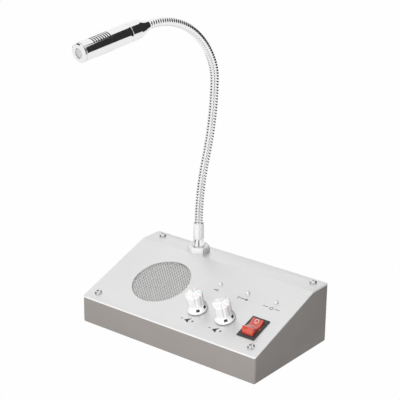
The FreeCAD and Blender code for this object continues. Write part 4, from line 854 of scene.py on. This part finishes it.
def weave_tree():
    """Woven wire: straight rows bent over and under each other, in two directions."""
    tree = Pattern("woven_wire", ("Source", GEOMETRY, None), ("Radius", NUMBER, 0.0046),
                   ("Pitch", NUMBER, 0.00045), ("Wire Radius", NUMBER, 0.0001), ("Rows", WHOLE, 21))
    given, pitch, thin = tree.given, tree.given["Pitch"], tree.given["Wire Radius"]
    half = (given["Rows"] - 1.0) * pitch / 2.0
    rows = tree.add("GeometryNodeMeshLine", {"Count": given["Rows"]}, mode="OFFSET")
    index = Term(tree, tree.add("GeometryNodeInputIndex").outputs[0])
    set_rows = tree.add("GeometryNodeSetPosition", {"Geometry": rows,
                                                    "Position": tree.vector_of(Y=index * pitch - half)})
    line = tree.add("GeometryNodeCurvePrimitiveLine", {"Start": (-1.0, 0.0, 0.0), "End": (1.0, 0.0, 0.0)})
    fine = tree.add("GeometryNodeResampleCurve", {"Curve": line, "Count": 61}, mode="COUNT")
    copies = tree.add("GeometryNodeInstanceOnPoints", {"Points": set_rows, "Instance": fine})
    across, y, _ = tree.split(tree.add("GeometryNodeInputPosition"))
    x = across * tree.math("SQRT", tree.math("MAXIMUM", given["Radius"] ** 2.0 - y ** 2.0, 1e-9))
    wave = tree.math("COSINE", (x / pitch + (y + half) / pitch) * math.pi)
    shaped = tree.add("GeometryNodeSetPosition", {"Geometry": tree.real(copies),
                                                  "Position": tree.vector_of(X=x, Y=y, Z=wave * thin)})
    section = tree.add("GeometryNodeCurvePrimitiveCircle", {"Resolution": 5, "Radius": thin}, mode="RADIUS")
    wires = tree.add("GeometryNodeCurveToMesh", {"Curve": shaped, "Profile Curve": section, "Fill Caps": True})
    crossed = tree.add("GeometryNodeTransform", {"Geometry": wires, "Rotation": (0.0, math.pi, math.pi / 2)})
    return tree.shown(tree.joined(wires, crossed))


COIL = coil_tree()
PERFORATION = perforated_tree()
SET_OUT = scatter_tree()
WEAVE = weave_tree()


def grown(name, source, tree, finish_name, **values):
    """Runs a pattern tree on the source's geometry and returns the result as a plain mesh object.

    Values go to the inputs of the same name, with spaces for underscores.
    """
    step = source.modifiers.new("pattern", "NODES")
    step.node_group = tree
    values = {key.replace("_", " ").lower(): value for key, value in values.items()}
    values["finish"] = FINISH[finish_name]
    for item in tree.interface.items_tree:
        if item.item_type == "SOCKET" and item.in_out == "INPUT" and item.name.lower() in values:
            step[item.identifier] = values[item.name.lower()]
    made = settled(source)
    made.name = name
    made.data.name = name
    return made


def carrier():
    """Mesh for a pattern that needs no source of its own."""
    return new_object("carrier", box(-1, 1, -1, 1, -1, 1))


def point_source(name, frames):
    """Points that carry each frame's place and tilt, for the tree that sets pieces out."""
    mesh = bpy.data.meshes.new(name)
    mesh.from_pydata([tuple(placed.translation * MM) for placed in frames], [], [])
    tilt = mesh.attributes.new("tilt", "FLOAT_VECTOR", "POINT")
    for entry, placed in zip(tilt.data, frames):
        entry.vector = placed.to_euler()
    return linked(name, mesh)


def set_out(name, pattern, frames, material, body, slot, *nodes, spin=0.0, seed=1, sharp=38):
    """Equal pieces on several frames, as one mesh."""
    made = grown(name, point_source(name, frames), SET_OUT, material, piece=pattern, spin=spin, seed=seed)
    bpy.data.objects.remove(pattern)
    return dressed(made, material, body, slot, *nodes, sharp=sharp)


# ---- base shell
def make_tray():
    """Folded tray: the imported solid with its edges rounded."""
    tray = softened(new_object("tray", packed_shape("base_tray")), 0.25, 2, 50)
    dressed(tray, "tray_paint", "base", "tray_paint", "base_tray", sharp=50)


def lid_outline():
    """The lid's section across the fold, as (depth, height)."""
    front, rear = BASE_MIDDLE - HALF_DEPTH, BASE_MIDDLE + HALF_DEPTH
    bend = rear - REAR_STRIP
    top_bend = bend - LID * math.tan(SLOPE / 2)
    return eased([(front, FRONT_RIM), (bend, REAR_RIM, 2.0), (rear, REAR_RIM), (rear, REAR_RIM + LID),
                  (top_bend, REAR_RIM + LID, 3.2), (front, FRONT_RIM + LID / math.cos(SLOPE))], 6)


def drill(placed, radius, flare):
    """Drill that leaves a small chamfer on the lid's face."""
    outline = [(0, -DRILL_DEPTH), (radius, -DRILL_DEPTH), (radius, LID - flare),
               (radius + flare + 1.0, LID + 1.0), (0, LID + 1.0)]
    return new_object("drill", turned(outline), placed)


def make_lid():
    """Bent aluminium lid with its holes."""
    lid = new_object("lid", prism(lid_outline(), -HALF_WIDTH, HALF_WIDTH, "X"))
    plan = eased([(side_x * HALF_WIDTH, BASE_MIDDLE + side_y * HALF_DEPTH, CORNER_RADIUS)
                  for side_x, side_y in ((-1, -1), (1, -1), (1, 1), (-1, 1))], 8)
    combined(lid, [new_object("plan", prism(plan, 0, 80))], "INTERSECT")
    # The cut edges, and the rounds that the bevel below makes, take the lighter finish: a painted highlight
    # along the lid's edges.
    two_finishes(lid, "panel_metal", "panel_edge", lambda face: abs(face.normal.x) + abs(face.normal.y) > 0.9)
    softened(lid, 0.28, 3, 50, 1)
    tools = [drill(on_slope(*SPEAKER), WINDOW_RADIUS, 0.25)]
    tools += [drill(placed, SCREW_HOLE, 0.1) for placed in screw_frames(0)]
    tools += [drill(on_slope(x, LAMP_ROW), LAMP_HOLE, 0.12) for x in COLUMNS]
    tools += [drill(on_slope(x, KNOB_ROW), KNOB_HOLE, 0.1) for x in COLUMNS[:2]]
    tools.append(drill(on_strip(NECK_X, NECK_Y), NECK_HOLE, 0.1))
    half_x, half_y = SWITCH_HOLE
    cutout = box(-half_x, half_x, -half_y, half_y, -DRILL_DEPTH, DRILL_DEPTH)
    tools.append(new_object("drill", cutout, on_slope(COLUMNS[2], SWITCH_ROW)))
    combined(lid, tools, "DIFFERENCE")
    dressed(lid, None, "base", "panel_metal", "top_panel", sharp=30)


def screw_frames(lift):
    front = [on_slope(side * SCREW_X, SCREW_FRONT_ROW, lift) for side in (-1, 1)]
    rear = [on_strip(side * SCREW_X, HALF_DEPTH - SCREW_REAR_INSET, lift) for side in (-1, 1)]
    return front + rear


def make_screws():
    """Pan heads with a cross recess."""
    head = turned(eased([(0, -6.8), (1.35, -6.8, 0.3), (1.35, 0.0), (2.78, 0.0, 0.08), (2.78, 0.85, 0.35),
                         (2.0, 1.72, 0.9), (0, 1.86)], 6), 64)
    screw = new_object("screw", head)
    tools = []
    for turn in (0, math.pi / 2):
        arm = bmesh.new()
        floor, mouth = [[arm.verts.new((side_x * x, side_y * y, z))
                         for side_x, side_y in ((1, 1), (1, -1), (-1, -1), (-1, 1))]
                        for x, y, z in ((0.85, 0.24, 0.45), (1.62, 0.36, 2.6))]
        arm.faces.new(floor)
        arm.faces.new(mouth)
        bridge(arm, floor, mouth)
        tools.append(new_object("recess", arm, Matrix.Rotation(turn, 4, "Z")))
    combined(screw, tools, "DIFFERENCE")
    set_out("lid_screws", screw, screw_frames(LID), "screw_steel", "base", "zinc_steel", "panel_screws",
            spin=math.pi / 2, seed=5, sharp=32)


def make_feet():
    """Rubber feet, each with a shallow hollow underneath."""
    foot = turned(eased([(0, 0.35), (4.3, 0.35, 0.1), (4.5, 0, 0.1), (5.5, 0, 0.3),
                         (FOOT_RADIUS, FOOT_HEIGHT, 0.15), (0, FOOT_HEIGHT)]), 72)
    reach_x, reach_y = HALF_WIDTH - FOOT_INSET, HALF_DEPTH - FOOT_INSET
    frames = [Matrix.Translation((side_x * reach_x, BASE_MIDDLE + side_y * reach_y, 0))
              for side_x in (-1, 1) for side_y in (-1, 1)]
    set_out("feet", new_object("foot", foot), frames, "rubber", "base", "rubber", "rubber_feet", sharp=40)


GRILLE_PITCH = 1.64
GRILLE_HOLE = 0.55
GRILLE_SHEET = 0.3
GRILLE_CELLS = 37
GRILLE_REACH = 24.2
GRILLE_TOP = -0.05
GRILLE_RIM = (23.4, 25.9)
GRILLE_RIM_FOOT = -0.75


def make_grille():
    """Perforated disc just under the lid, and the plain rim round it."""
    sheet = grown("grille", carrier(), PERFORATION, "grille_metal", pitch=GRILLE_PITCH * MM,
                  hole_radius=GRILLE_HOLE * MM, reach=GRILLE_REACH * MM, sheet=GRILLE_SHEET * MM,
                  cells_across=GRILLE_CELLS, hole_sides=12)
    moved(sheet, on_slope(*SPEAKER, GRILLE_TOP))
    dressed(sheet, "grille_metal", "base", "grille_metal", "speaker_grille", sharp=30)
    inner, outer = GRILLE_RIM
    rim = turned(eased([(inner, GRILLE_RIM_FOOT, 0.05), (outer, GRILLE_RIM_FOOT, 0.1), (outer, GRILLE_TOP, 0.1),
                        (inner, GRILLE_TOP, 0.05)], 2), 128)
    dressed(new_object("grille_rim", rim, on_slope(*SPEAKER)), "grille_metal", "base", "grille_metal")


# ---- controls
KNOB_FLOOR = LID + 0.6
KNOB_HEIGHT = 15.4
KNOB_SKIRT_TOP = 4.75
KNOB_CROWN = 13.7
KNOB_LOBES = 8
KNOB_STEPS = 256
KNOB_MARKS = (-45, 8, 61)
MARK_HALF_WIDTH = math.radians(10.5)
GRIP_RADIUS = 6.4
FLUTE_DEPTH = 0.85
FLUTE_WIDTH = 0.62
FLUTES_FROM = 5.7
GROOVE_DEPTH = 0.75
GROOVE_WIDTH = 0.42
GROOVES_FROM = 0.8


def knob_outline():
    """Outer profile from the skirt's foot to the crown, as (radius, height, depth of the flutes)."""
    rows = [(7.45, 0.0, 0), (7.72, 0.06, 0), (7.80, 0.25, 0), (7.80, 0.9, 0), (7.72, 1.15, 0)]
    for k in range(1, 9):
        t = k / 8
        rows.append((7.72 - 1.62 * t ** 0.85, 1.15 + 3.6 * t, 0.0))
    for k in range(1, 13):
        t = k / 12
        rows.append((6.10 + 0.58 * t, KNOB_SKIRT_TOP + 8.95 * t, min(1.0, 0.25 + 1.3 * t)))
    for k in range(1, 11):
        t = math.radians(9 * k)
        rows.append((6.68 - 1.1 * (1 - math.cos(t)), KNOB_CROWN + 1.1 * math.sin(t), 1.0))
    for k in range(1, 8):
        t = k / 8
        rows.append((5.58 * (1 - t), 14.8 + 0.6 * math.sin(t * math.pi / 2), 1.0))
    return rows


def knob_ring(bm, radius, height, depth):
    """One round of the knob's outside, drawn in by its flutes and sunk by the crown's grooves."""
    row = []
    for k in range(KNOB_STEPS):
        angle = math.tau * k / KNOB_STEPS
        off = abs((angle * KNOB_LOBES / math.tau) % 1.0 - 0.5) * math.tau / KNOB_LOBES
        flute = groove = 0.0
        if radius > FLUTES_FROM:
            flute = FLUTE_DEPTH * depth * math.exp(-((off * GRIP_RADIUS / FLUTE_WIDTH) ** 2))
        if height > KNOB_CROWN and radius > GROOVES_FROM:
            groove = GROOVE_DEPTH * math.exp(-((off * radius / GROOVE_WIDTH) ** 4))
        out = radius - flute
        row.append(bm.verts.new((out * math.cos(angle), out * math.sin(angle), KNOB_FLOOR + height - groove)))
    return row


def make_knob(side, x):
    """Moulded knob: flared skirt, fluted grip, lobed crown with radial grooves, open underneath."""
    bm = bmesh.new()
    outside = [knob_ring(bm, *row) for row in knob_outline()]
    outside.append(ring(bm, 0, KNOB_FLOOR + KNOB_HEIGHT, 1))
    inside = [outside[0]] + [ring(bm, radius, height, KNOB_STEPS) for radius, height in (
        (5.9, KNOB_FLOOR), (5.85, 4.3), (3.85, 4.35), (3.82, 6.5), (3.1, 6.55), (3.06, 13.75), (0, 13.75))]
    for low, high in zip(outside, outside[1:]):
        bridge(bm, low, high)
    for low, high in zip(inside, inside[1:]):
        bridge(bm, high, low)
    turn = Matrix.Rotation(math.radians(-90 + 180 / KNOB_LOBES), 4, "Z")
    knob = new_object("knob_" + side + "_moulding", bm, on_slope(x, KNOB_ROW) @ turn)
    dressed(knob, "white_plastic", "knob_" + side + "_body", "white_plastic", "knob_" + side, sharp=60)
    marks = bmesh.new()
    for bearing in KNOB_MARKS:
        add_skirt_mark(marks, math.radians(bearing))
    piece = new_object("knob_" + side + "_marks", marks, on_slope(x, KNOB_ROW))
    dressed(piece, "black_print", "knob_" + side + "_body", "white_plastic", sharp=60)


def add_skirt_mark(bm, middle):
    """Square of paint on the knob's skirt."""
    angles = [middle + MARK_HALF_WIDTH * (k / 3 - 1) for k in range(7)]
    rows = [[[bm.verts.new(((radius + lift) * math.cos(a), (radius + lift) * math.sin(a),
                            KNOB_FLOOR + height + lift * 0.45)) for a in angles] for lift in (0.05, -0.10)]
            for radius, height, _ in knob_outline() if 1.7 < height < 4.3]
    for (outer, inner), (next_outer, next_inner) in zip(rows, rows[1:]):
        bridge(bm, outer + inner[::-1], next_outer + next_inner[::-1])
    for outer, inner in (rows[0], rows[-1]):
        bridge(bm, outer, inner, closed=False)


PRINT = 0.03


def printed(name, outlines, placed, material="black_print", body="base", slot="panel_metal"):
    """Thin raised print from closed outlines on a frame whose floor is the printed face."""
    bm = together(prism(outline, -PRINT, PRINT) for outline in outlines)
    return dressed(new_object(name, bm, placed), material, body, slot)


def bar(x0, y0, x1, y1, width):
    """Straight stroke as an outline."""
    run = Vector((x1 - x0, y1 - y0)).normalized() * width / 2
    side = Vector((-run.y, run.x))
    return [(x0 - side.x, y0 - side.y), (x1 - side.x, y1 - side.y), (x1 + side.x, y1 + side.y),
            (x0 + side.x, y0 + side.y)]


def band(radius, width, start, end, y=0.0):
    """Arc of a ring as an outline, angles in degrees."""
    angles = [math.radians(start + (end - start) * k / 40) for k in range(41)]
    outer, inner = radius + width / 2, radius - width / 2
    return ([(outer * math.cos(a), y + outer * math.sin(a)) for a in angles]
            + [(inner * math.cos(a), y + inner * math.sin(a)) for a in reversed(angles)])


def make_lid_prints():
    """Level wedges in front of the knobs, signs under the lamps."""
    volume = [[(-2.3, 0.0), (2.1, -2.0), (1.3, 0.4), (2.4, 3.3)], bar(-5.7, 0.6, -4.0, 0.6, 0.6),
              bar(3.8, 0.75, 5.6, 0.75, 0.6), bar(4.7, -0.15, 4.7, 1.65, 0.6)]
    for name, x in zip(("left", "right"), COLUMNS):
        printed("volume_sign_" + name, volume, on_slope(x, VOLUME_SIGN_ROW, LID))
    signs = {
        "in": [bar(-1.9, 0, 0.2, 0, 0.6), [(0.0, 1.1), (0.0, -1.1), (1.4, 0)], bar(2.0, -1.4, 2.0, 1.4, 0.6)],
        "out": [bar(-4.4, -1.4, -4.4, 1.4, 0.65), bar(-3.4, 0, 2.6, 0, 0.65),
                [(2.4, 1.4), (2.4, -1.4), (4.6, 0)]],
        "power": [band(1.3, 0.55, 128, 412, y=-0.15), bar(0, 0.1, 0, 1.6, 0.55), bar(-7.6, 0, -3.0, 0, 0.6),
                  bar(3.0, 0, 7.0, 0, 0.6)],
    }
    for (name, outlines), x in zip(signs.items(), COLUMNS):
        printed("lamp_sign_" + name, outlines, on_slope(x, LAMP_SIGN_ROW, LID), "grey_print")


LENS_RADIUS = 1.5
LENS_TOP = LID + 2.6
LEAD_OUTSET = 1.27
LEAD_HALF = 0.25


def make_lamps():
    """Clear lamps: the lens, and the lead frame that shows through it."""
    dome = [(LENS_RADIUS * math.cos(a), LENS_TOP - LENS_RADIUS + LENS_RADIUS * math.sin(a))
            for a in map(math.radians, range(0, 90, 9))]
    outline = [(0, -4.5), (1.9, -4.5), (1.9, -3.5), (LENS_RADIUS, -3.5)] + dome + [(0, LENS_TOP)]
    for k, x in enumerate(COLUMNS, 1):
        placed = on_slope(x, LAMP_ROW)
        lens = new_object(f"lamp_{k}_lens", turned(outline, 64), placed)
        dressed(lens, "clear_lens", "base", "clear_lens", f"lamp_{k}")
        leads = []
        for side, cup in ((-1, 0.62), (1, 0.30)):
            for out, half, low, high in ((LEAD_OUTSET, LEAD_HALF, -12.5, -1.2), (0.55, cup, -1.2, 0.9)):
                leads.append(box(side * out - half, side * out + half, -LEAD_HALF, LEAD_HALF, low, high))
        dressed(new_object(f"lamp_{k}_leads", together(leads), placed), "lead_metal", "base", "clear_lens")


# ---- rocker switch
ROCKER_PIVOT = 1.0
ROCKER_TILT = math.radians(-12)
ROCKER_HALF = 4.7
ROCKER_END = 7.9
ROCKER_RISE = 4.8
ROCKER_KEEL = [(-3.0, -4.0), (3.0, -4.0)]
ROCKER_VALLEY = [(2.6, 2.72), (1.2, 2.36)]
ROCKER_SIGN_OUT = 4.35
ROCKER_LIP = math.radians(11)
ROCKER_PIN_RADIUS = 1.2
ROCKER_PIN_REACH = 6.2


def make_switch():
    """Bezel and body of the switch, its edges rounded."""
    housing = softened(new_object("switch_housing", packed_shape("switch_body")), 0.12, 2, 30)
    dressed(housing, "black_plastic", "base", "black_plastic", "switch_body", sharp=50)


def make_rocker():
    """Two-faced key with its signs: a ring on the pressed half, a bar on the raised one."""
    top = math.asin(ROCKER_RISE / ROCKER_END)
    angles = [top - (top + ROCKER_LIP) * k / 9 for k in range(10)]
    front = [(-ROCKER_END * math.cos(a), ROCKER_END * math.sin(a)) for a in angles]
    rear = [(-y, z) for y, z in reversed(front)]
    valley = ROCKER_VALLEY + [(0, 2.26)] + [(-y, z) for y, z in reversed(ROCKER_VALLEY)]
    outline = front + ROCKER_KEEL + rear + valley
    key = new_object("rocker_key", prism(outline, -ROCKER_HALF, ROCKER_HALF, "X"))
    softened(key, 0.35, 3, 45)
    pin = prism(circle(ROCKER_PIN_RADIUS, 32), -ROCKER_PIN_REACH, ROCKER_PIN_REACH, "X")
    combined(key, [new_object("pin", pin)], "UNION")
    placed = on_slope(COLUMNS[2], SWITCH_ROW, ROCKER_PIVOT) @ Matrix.Rotation(ROCKER_TILT, 4, "X")
    moved(key, placed)
    dressed(key, "red_plastic", "rocker_body", "red_plastic", "rocker", sharp=40)
    y0, z0 = ROCKER_VALLEY[0]
    rise, run = ROCKER_RISE - z0, math.sqrt(ROCKER_END ** 2 - ROCKER_RISE ** 2) - y0
    height = z0 + rise * (ROCKER_SIGN_OUT - y0) / run
    for name, side, outlines in (("ring", 1, [band(1.5, 0.4, 0, 180), band(1.5, 0.4, 180, 360)]),
                                 ("bar", -1, [bar(-1.3, 0, 1.3, 0, 0.4)])):
        face = placed @ Matrix.Translation((0, side * ROCKER_SIGN_OUT, height))
        face = face @ Matrix.Rotation(side * math.atan2(rise, run), 4, "X")
        printed("rocker_sign_" + name, outlines, face, "white_print", "rocker_body", "red_plastic")


# ---- rear sockets
JACK_NUT_TEETH = 36
POWER_NUT_FLATS = 10.0


def hexagon(flats, turn=0.0):
    """Outline of a hexagon by its width across flats."""
    corner = flats / math.sqrt(3)
    angles = [math.tau * k / 6 + turn for k in range(6)]
    return [(corner * math.cos(a), corner * math.sin(a)) for a in angles]


def knurled(outline, teeth, depth, reach):
    """Turned solid whose outer skin is knurled: rings wider than reach are cut by teeth."""
    bm = turned(outline, teeth * 4)
    for vert in bm.verts:
        radius = math.hypot(vert.co.x, vert.co.y)
        step = round(math.atan2(vert.co.y, vert.co.x) / math.tau * teeth * 4) % 4
        if radius > reach and step in (2, 3):
            vert.co.x *= (radius - depth) / radius
            vert.co.y *= (radius - depth) / radius
    return bm


def make_jacks():
    """Two audio sockets in square bodies, with their knurled nuts."""
    for name, x in JACKS.items():
        placed = on_rear_wall(x)
        nose = turned(eased([(0, -11.0), (1.8, -11.0), (1.8, 3.0, 0.25), (3.0, 3.0, 0.25), (3.0, -2.0),
                             (4.0, -2.0), (4.0, -13.5), (0, -13.5)], 3), 72)
        piece = new_object(name + "_socket", nose, placed)
        shell = new_object("shell", box(-4.5, 4.5, -4.5, 4.5, -13.7, -1.2), placed)
        combined(shell, [new_object("hole", prism(circle(3.9, 48), -14.5, -0.5), placed)], "DIFFERENCE")
        combined(piece, [shell], "UNION")
        dressed(piece, "black_plastic", "base", "black_plastic", name)
    nut = knurled(eased([(3.05, 0.0, 0.1), (4.18, 0.0, 0.15), (4.18, 2.0, 0.25), (3.05, 2.0, 0.1)], 2),
                  JACK_NUT_TEETH, 0.14, 4.0)
    set_out("socket_nuts", new_object("nut", nut), [on_rear_wall(x) for x in JACKS.values()], "screw_steel",
            "base", "chrome", "jack_nuts", sharp=30)


def make_power_inlet():
    """Inlet with its centre pin and its hexagon nut."""
    placed = on_rear_wall(POWER_X)
    inlet = turned(eased([(0, -7.5), (3.1, -7.5), (3.1, 3.0, 0.3), (4.0, 3.0, 0.3), (4.0, -1.2),
                          (5.6, -1.2, 0.2), (5.6, -13.7, 0.3), (0, -13.7)], 3), 96)
    dressed(new_object("power_inlet", inlet, placed), "black_plastic", "base", "black_plastic", "power_jack")
    pin = turned(eased([(0, -8.0), (1.05, -8.0), (1.05, 2.0, 0.35), (0, 2.0)], 4), 48)
    dressed(new_object("power_inlet_pin", pin, placed), "screw_steel", "base", "chrome")
    nut = new_object("power_inlet_nut", prism(hexagon(POWER_NUT_FLATS), 0.0, 2.0), placed)
    combined(nut, [new_object("bore", prism(circle(4.05, 72), -1, 3), placed)], "DIFFERENCE")
    softened(nut, 0.15, 2, 40)
    dressed(nut, "screw_steel", "base", "chrome", "power_nut", sharp=35)


# ---- gooseneck
def make_neck_nut():
    """Hexagon nut with a corner to the front, its upper corners turned off."""
    flat = NECK_NUT_FLATS / 2 - NECK_NUT_EASE
    drop = (NECK_NUT_FLATS - flat) * math.tan(math.radians(30))
    placed = on_strip(NECK_X, NECK_Y)
    nut = new_object("gooseneck_nut", prism(hexagon(NECK_NUT_FLATS, NECK_NUT_TURN), LID, NECK_NUT_TOP), placed)
    turned_off = turned([(0, LID - 1), (NECK_NUT_FLATS, LID - 1), (NECK_NUT_FLATS, NECK_NUT_TOP - drop),
                         (flat, NECK_NUT_TOP), (0, NECK_NUT_TOP)], 144)
    combined(nut, [new_object("cone", turned_off, placed)], "INTERSECT")
    bore = prism(circle(NECK_STUD, 96), LID - 1, NECK_NUT_TOP + 1)
    combined(nut, [new_object("bore", bore, placed)], "DIFFERENCE")
    softened(nut, 0.12, 2, 25)
    dressed(nut, "nut_chrome", "base", "chrome", "neck_nut", sharp=24)


def make_ferrule():
    """Turned sleeve: flared foot, straight shank, rounded lip."""
    foot = [(3.42, 0.02), (4.70, 0.02), (4.83, 0.08)]
    flare = [(4.86 - 0.98 * t - 0.14 * t * t, 0.25 + 5.1 * t) for t in (k / 14 for k in range(15))]
    shoulder = [(3.78, 5.42), (4.02, 5.50), (4.12, 5.66), (4.13, 6.1)]
    lip = [(4.01, 1.0), (4.0, 0.45), (3.97, 0.22), (3.88, 0.07), (3.72, 0.0), (3.50, 0.04), (3.42, 0.15)]
    outline = [(radius, NECK_NUT_TOP + up) for radius, up in foot + flare + shoulder]
    outline += [(radius, FERRULE_TOP - down) for radius, down in lip]
    placed = on_strip(NECK_X, NECK_Y)
    ferrule = new_object("gooseneck_ferrule", turned(outline, 128), placed)
    shank = (placed.translation.z + NECK_NUT_TOP + 5.3) * MM
    two_finishes(ferrule, "chrome", "nut_chrome", lambda face: face.center.z > shank)
    dressed(ferrule, None, "base", "chrome", "neck_ferrule", sharp=50)


def centreline():
    """The neck's centreline as a curve, a little past both ends."""
    data = bpy.data.curves.new("centreline", "CURVE")
    data.dimensions = "3D"
    line = data.splines.new("POLY")
    line.points.add(CENTRELINE_STEPS)
    for k, point in enumerate(line.points):
        distance = -LEAD_IN + (NECK_LENGTH + 2 * LEAD_IN) * k / CENTRELINE_STEPS
        point.co = (*(neck_frame(distance).translation * MM), 1.0)
    return linked("centreline", data)


def sealed(mesh):
    """Closes a skin's open ends and points its faces outward."""
    bm = bmesh.new()
    bm.from_mesh(mesh)
    bmesh.ops.dissolve_degenerate(bm, edges=bm.edges, dist=1e-6)
    bmesh.ops.holes_fill(bm, edges=[edge for edge in bm.edges if edge.is_boundary], sides=0)
    bmesh.ops.recalc_face_normals(bm, faces=bm.faces)
    bm.to_mesh(mesh)
    bm.free()


def make_coil():
    """The wound neck in eight lengths, each a span of its centreline."""
    nodes = [["neck_base", "neck_1"]] + [[f"neck_{k}"] for k in range(2, NECK_JOINTS)] + [["neck_top"]]
    for k in range(1, NECK_JOINTS + 1):
        start = (k - 1) * SPAN - (COIL_OVERLAP if k == 1 else 0.0)
        end = k * SPAN + (COIL_OVERLAP if k == NECK_JOINTS else 0.0)
        low, high = [neck_frame((k - 0.5 + side * BLEND_HALF) * SPAN).translation * MM for side in (-1, 1)]
        piece = grown(f"neck_coil_{k}", centreline(), COIL, "coil_steel", start=(start + LEAD_IN) * MM,
                      end=(end + LEAD_IN) * MM, pitch=COIL_PITCH * MM, coil_radius=NECK_RADIUS * MM,
                      crown_radius=WIRE_CROWN * MM, steps_per_turn=COIL_STEPS, sides=COIL_SIDES)
        sealed(piece.data)
        shaded(piece.data, 50)
        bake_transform(piece)
        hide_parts(*nodes[k - 1])


# ---- microphone head
CONE_MOUTH = 3.36
CONE_TAPER = 11.0
CONE_SOCKET_FLOOR = 7.0
SOUND_SLOTS = 8
SLOT_PITCH = 2.1
SLOT_WIDTH = 1.0
FIRST_SLOT = HEAD_LENGTH - 11.4
SLOT_SPREAD = math.radians(45)
SLOT_HALF_LENGTH = HEAD_RADIUS * math.sin(SLOT_SPREAD)
SLOT_FLOOR = HEAD_RADIUS * math.cos(SLOT_SPREAD) - 0.25
SLOT_TOOL_END = 9.0
FRONT_HOLE = 3.5
FRONT_WALL = 1.2
MESH_RADIUS = 4.55
MESH_PITCH = 0.42
MESH_WIRE = 0.15
MESH_ROWS = 21


def make_cone():
    """Rear taper from the neck to the barrel, its curve hollow at first and full at the shoulder."""
    outline = [(CONE_MOUTH, 0.15), (3.45, 0.0), (3.75, 0.0), (3.84, 0.06)]
    for k in range(1, 25):
        t = k / 24
        swell = t * t * (3 - 2 * t)
        outline.append((3.86 + 3.14 * (0.35 * t + 0.65 * swell), CONE_TAPER * t))
    end = BARREL_START - 0.04
    outline += [(HEAD_RADIUS, CONE_TAPER + 0.3), (HEAD_RADIUS, BARREL_START - 0.5),
                (HEAD_RADIUS, BARREL_START - 0.2), (6.93, BARREL_START - 0.08), (6.8, end),
                (SPIGOT_RADIUS, end), (SPIGOT_RADIUS, BARREL_START + SPIGOT),
                (4.95, BARREL_START + SPIGOT), (4.95, 12.5), (1.6, 7.6), (1.6, CONE_SOCKET_FLOOR),
                (CONE_MOUTH, CONE_SOCKET_FLOOR)]
    dressed(new_object("head_cone", turned(outline, 144), HEAD), "chrome", "microphone", "chrome", "mic_cone",
            sharp=50)


def rounded_slot(half_length, half_width):
    """Outline of a slot with round ends."""
    ends = [math.radians(90 - 30 * k) for k in range(7)]
    right = [(half_length - half_width + half_width * math.cos(a), half_width * math.sin(a)) for a in ends]
    return right + [(-x, -y) for x, y in right]


def make_barrel():
    """Thin tube with its sound slots, cut round the top and the underside."""
    plain = FIRST_SLOT - (SOUND_SLOTS - 1) * SLOT_PITCH - SLOT_WIDTH - BARREL_START
    rows = [BARREL_START + plain * k / 8 for k in range(1, 9)]
    rows += [FIRST_SLOT + SLOT_WIDTH, BARREL_END - 4, BARREL_END - 2, BARREL_END - 0.5]
    outline = eased([(BARREL_BORE, BARREL_START), (HEAD_RADIUS, BARREL_START, 0.12)]
                    + [(HEAD_RADIUS, row) for row in rows]
                    + [(HEAD_RADIUS, BARREL_END, 0.12), (BARREL_BORE, BARREL_END)], 3)
    barrel = new_object("head_barrel", turned(outline, 144), HEAD)
    slot = rounded_slot(SLOT_HALF_LENGTH, SLOT_WIDTH / 2)
    cuts = [[(a, FIRST_SLOT - k * SLOT_PITCH + b) for a, b in slot] for k in range(SOUND_SLOTS)]
    slots = together(prism(cut, side * SLOT_FLOOR, side * SLOT_TOOL_END, "Y")
                     for cut in cuts for side in (1, -1))
    combined(barrel, [new_object("slots", slots, HEAD)], "DIFFERENCE")
    dressed(barrel, "chrome", "microphone", "chrome", "mic_barrel", sharp=30)


def make_end_cap():
    """Front ring with its sound hole and parting groove, and the woven wire behind the hole."""
    inner_face = HEAD_LENGTH - FRONT_WALL
    outline = eased([(FRONT_HOLE, HEAD_LENGTH, 0.15), (6.25, HEAD_LENGTH, 0.12),
                     (HEAD_RADIUS, HEAD_LENGTH - 0.75, 0.2), (HEAD_RADIUS, BARREL_END + 0.5, 0.08),
                     (6.65, BARREL_END + 0.5), (6.65, BARREL_END), (SPIGOT_RADIUS, BARREL_END),
                     (SPIGOT_RADIUS, BARREL_END - SPIGOT), (4.65, BARREL_END - SPIGOT), (4.65, inner_face),
                     (FRONT_HOLE, inner_face)], 4)
    dressed(new_object("head_front_ring", turned(outline, 144), HEAD), "chrome", "microphone", "chrome",
            "mic_end_cap", sharp=40)
    mesh = grown("head_front_mesh", carrier(), WEAVE, "mesh_steel", radius=MESH_RADIUS * MM,
                 pitch=MESH_PITCH * MM, wire_radius=MESH_WIRE * MM, rows=MESH_ROWS)
    moved(mesh, HEAD @ Matrix.Translation((0, 0, inner_face - 0.2)))
    dressed(mesh, "mesh_steel", "microphone", "mesh_steel", "mic_mesh", sharp=60)


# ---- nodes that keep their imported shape
def dress_cad_nodes():
    """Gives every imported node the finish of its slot."""
    slots = {part["node"]: part["material_slot"] for part in frame["record"]["subparts"]}
    for name, node in frame["nodes"].items():
        node.data.materials.clear()
        node.data.materials.append(FINISH[slots[name]])


dress_cad_nodes()
make_tray()
make_lid()
make_screws()
make_feet()
make_grille()
make_knob("left", COLUMNS[0])
make_knob("right", COLUMNS[1])
make_lid_prints()
make_lamps()
make_switch()
make_rocker()
make_jacks()
make_power_inlet()
make_neck_nut()
make_ferrule()
make_coil()
make_cone()
make_barrel()
make_end_cap()

bpy.context.view_layer.update()
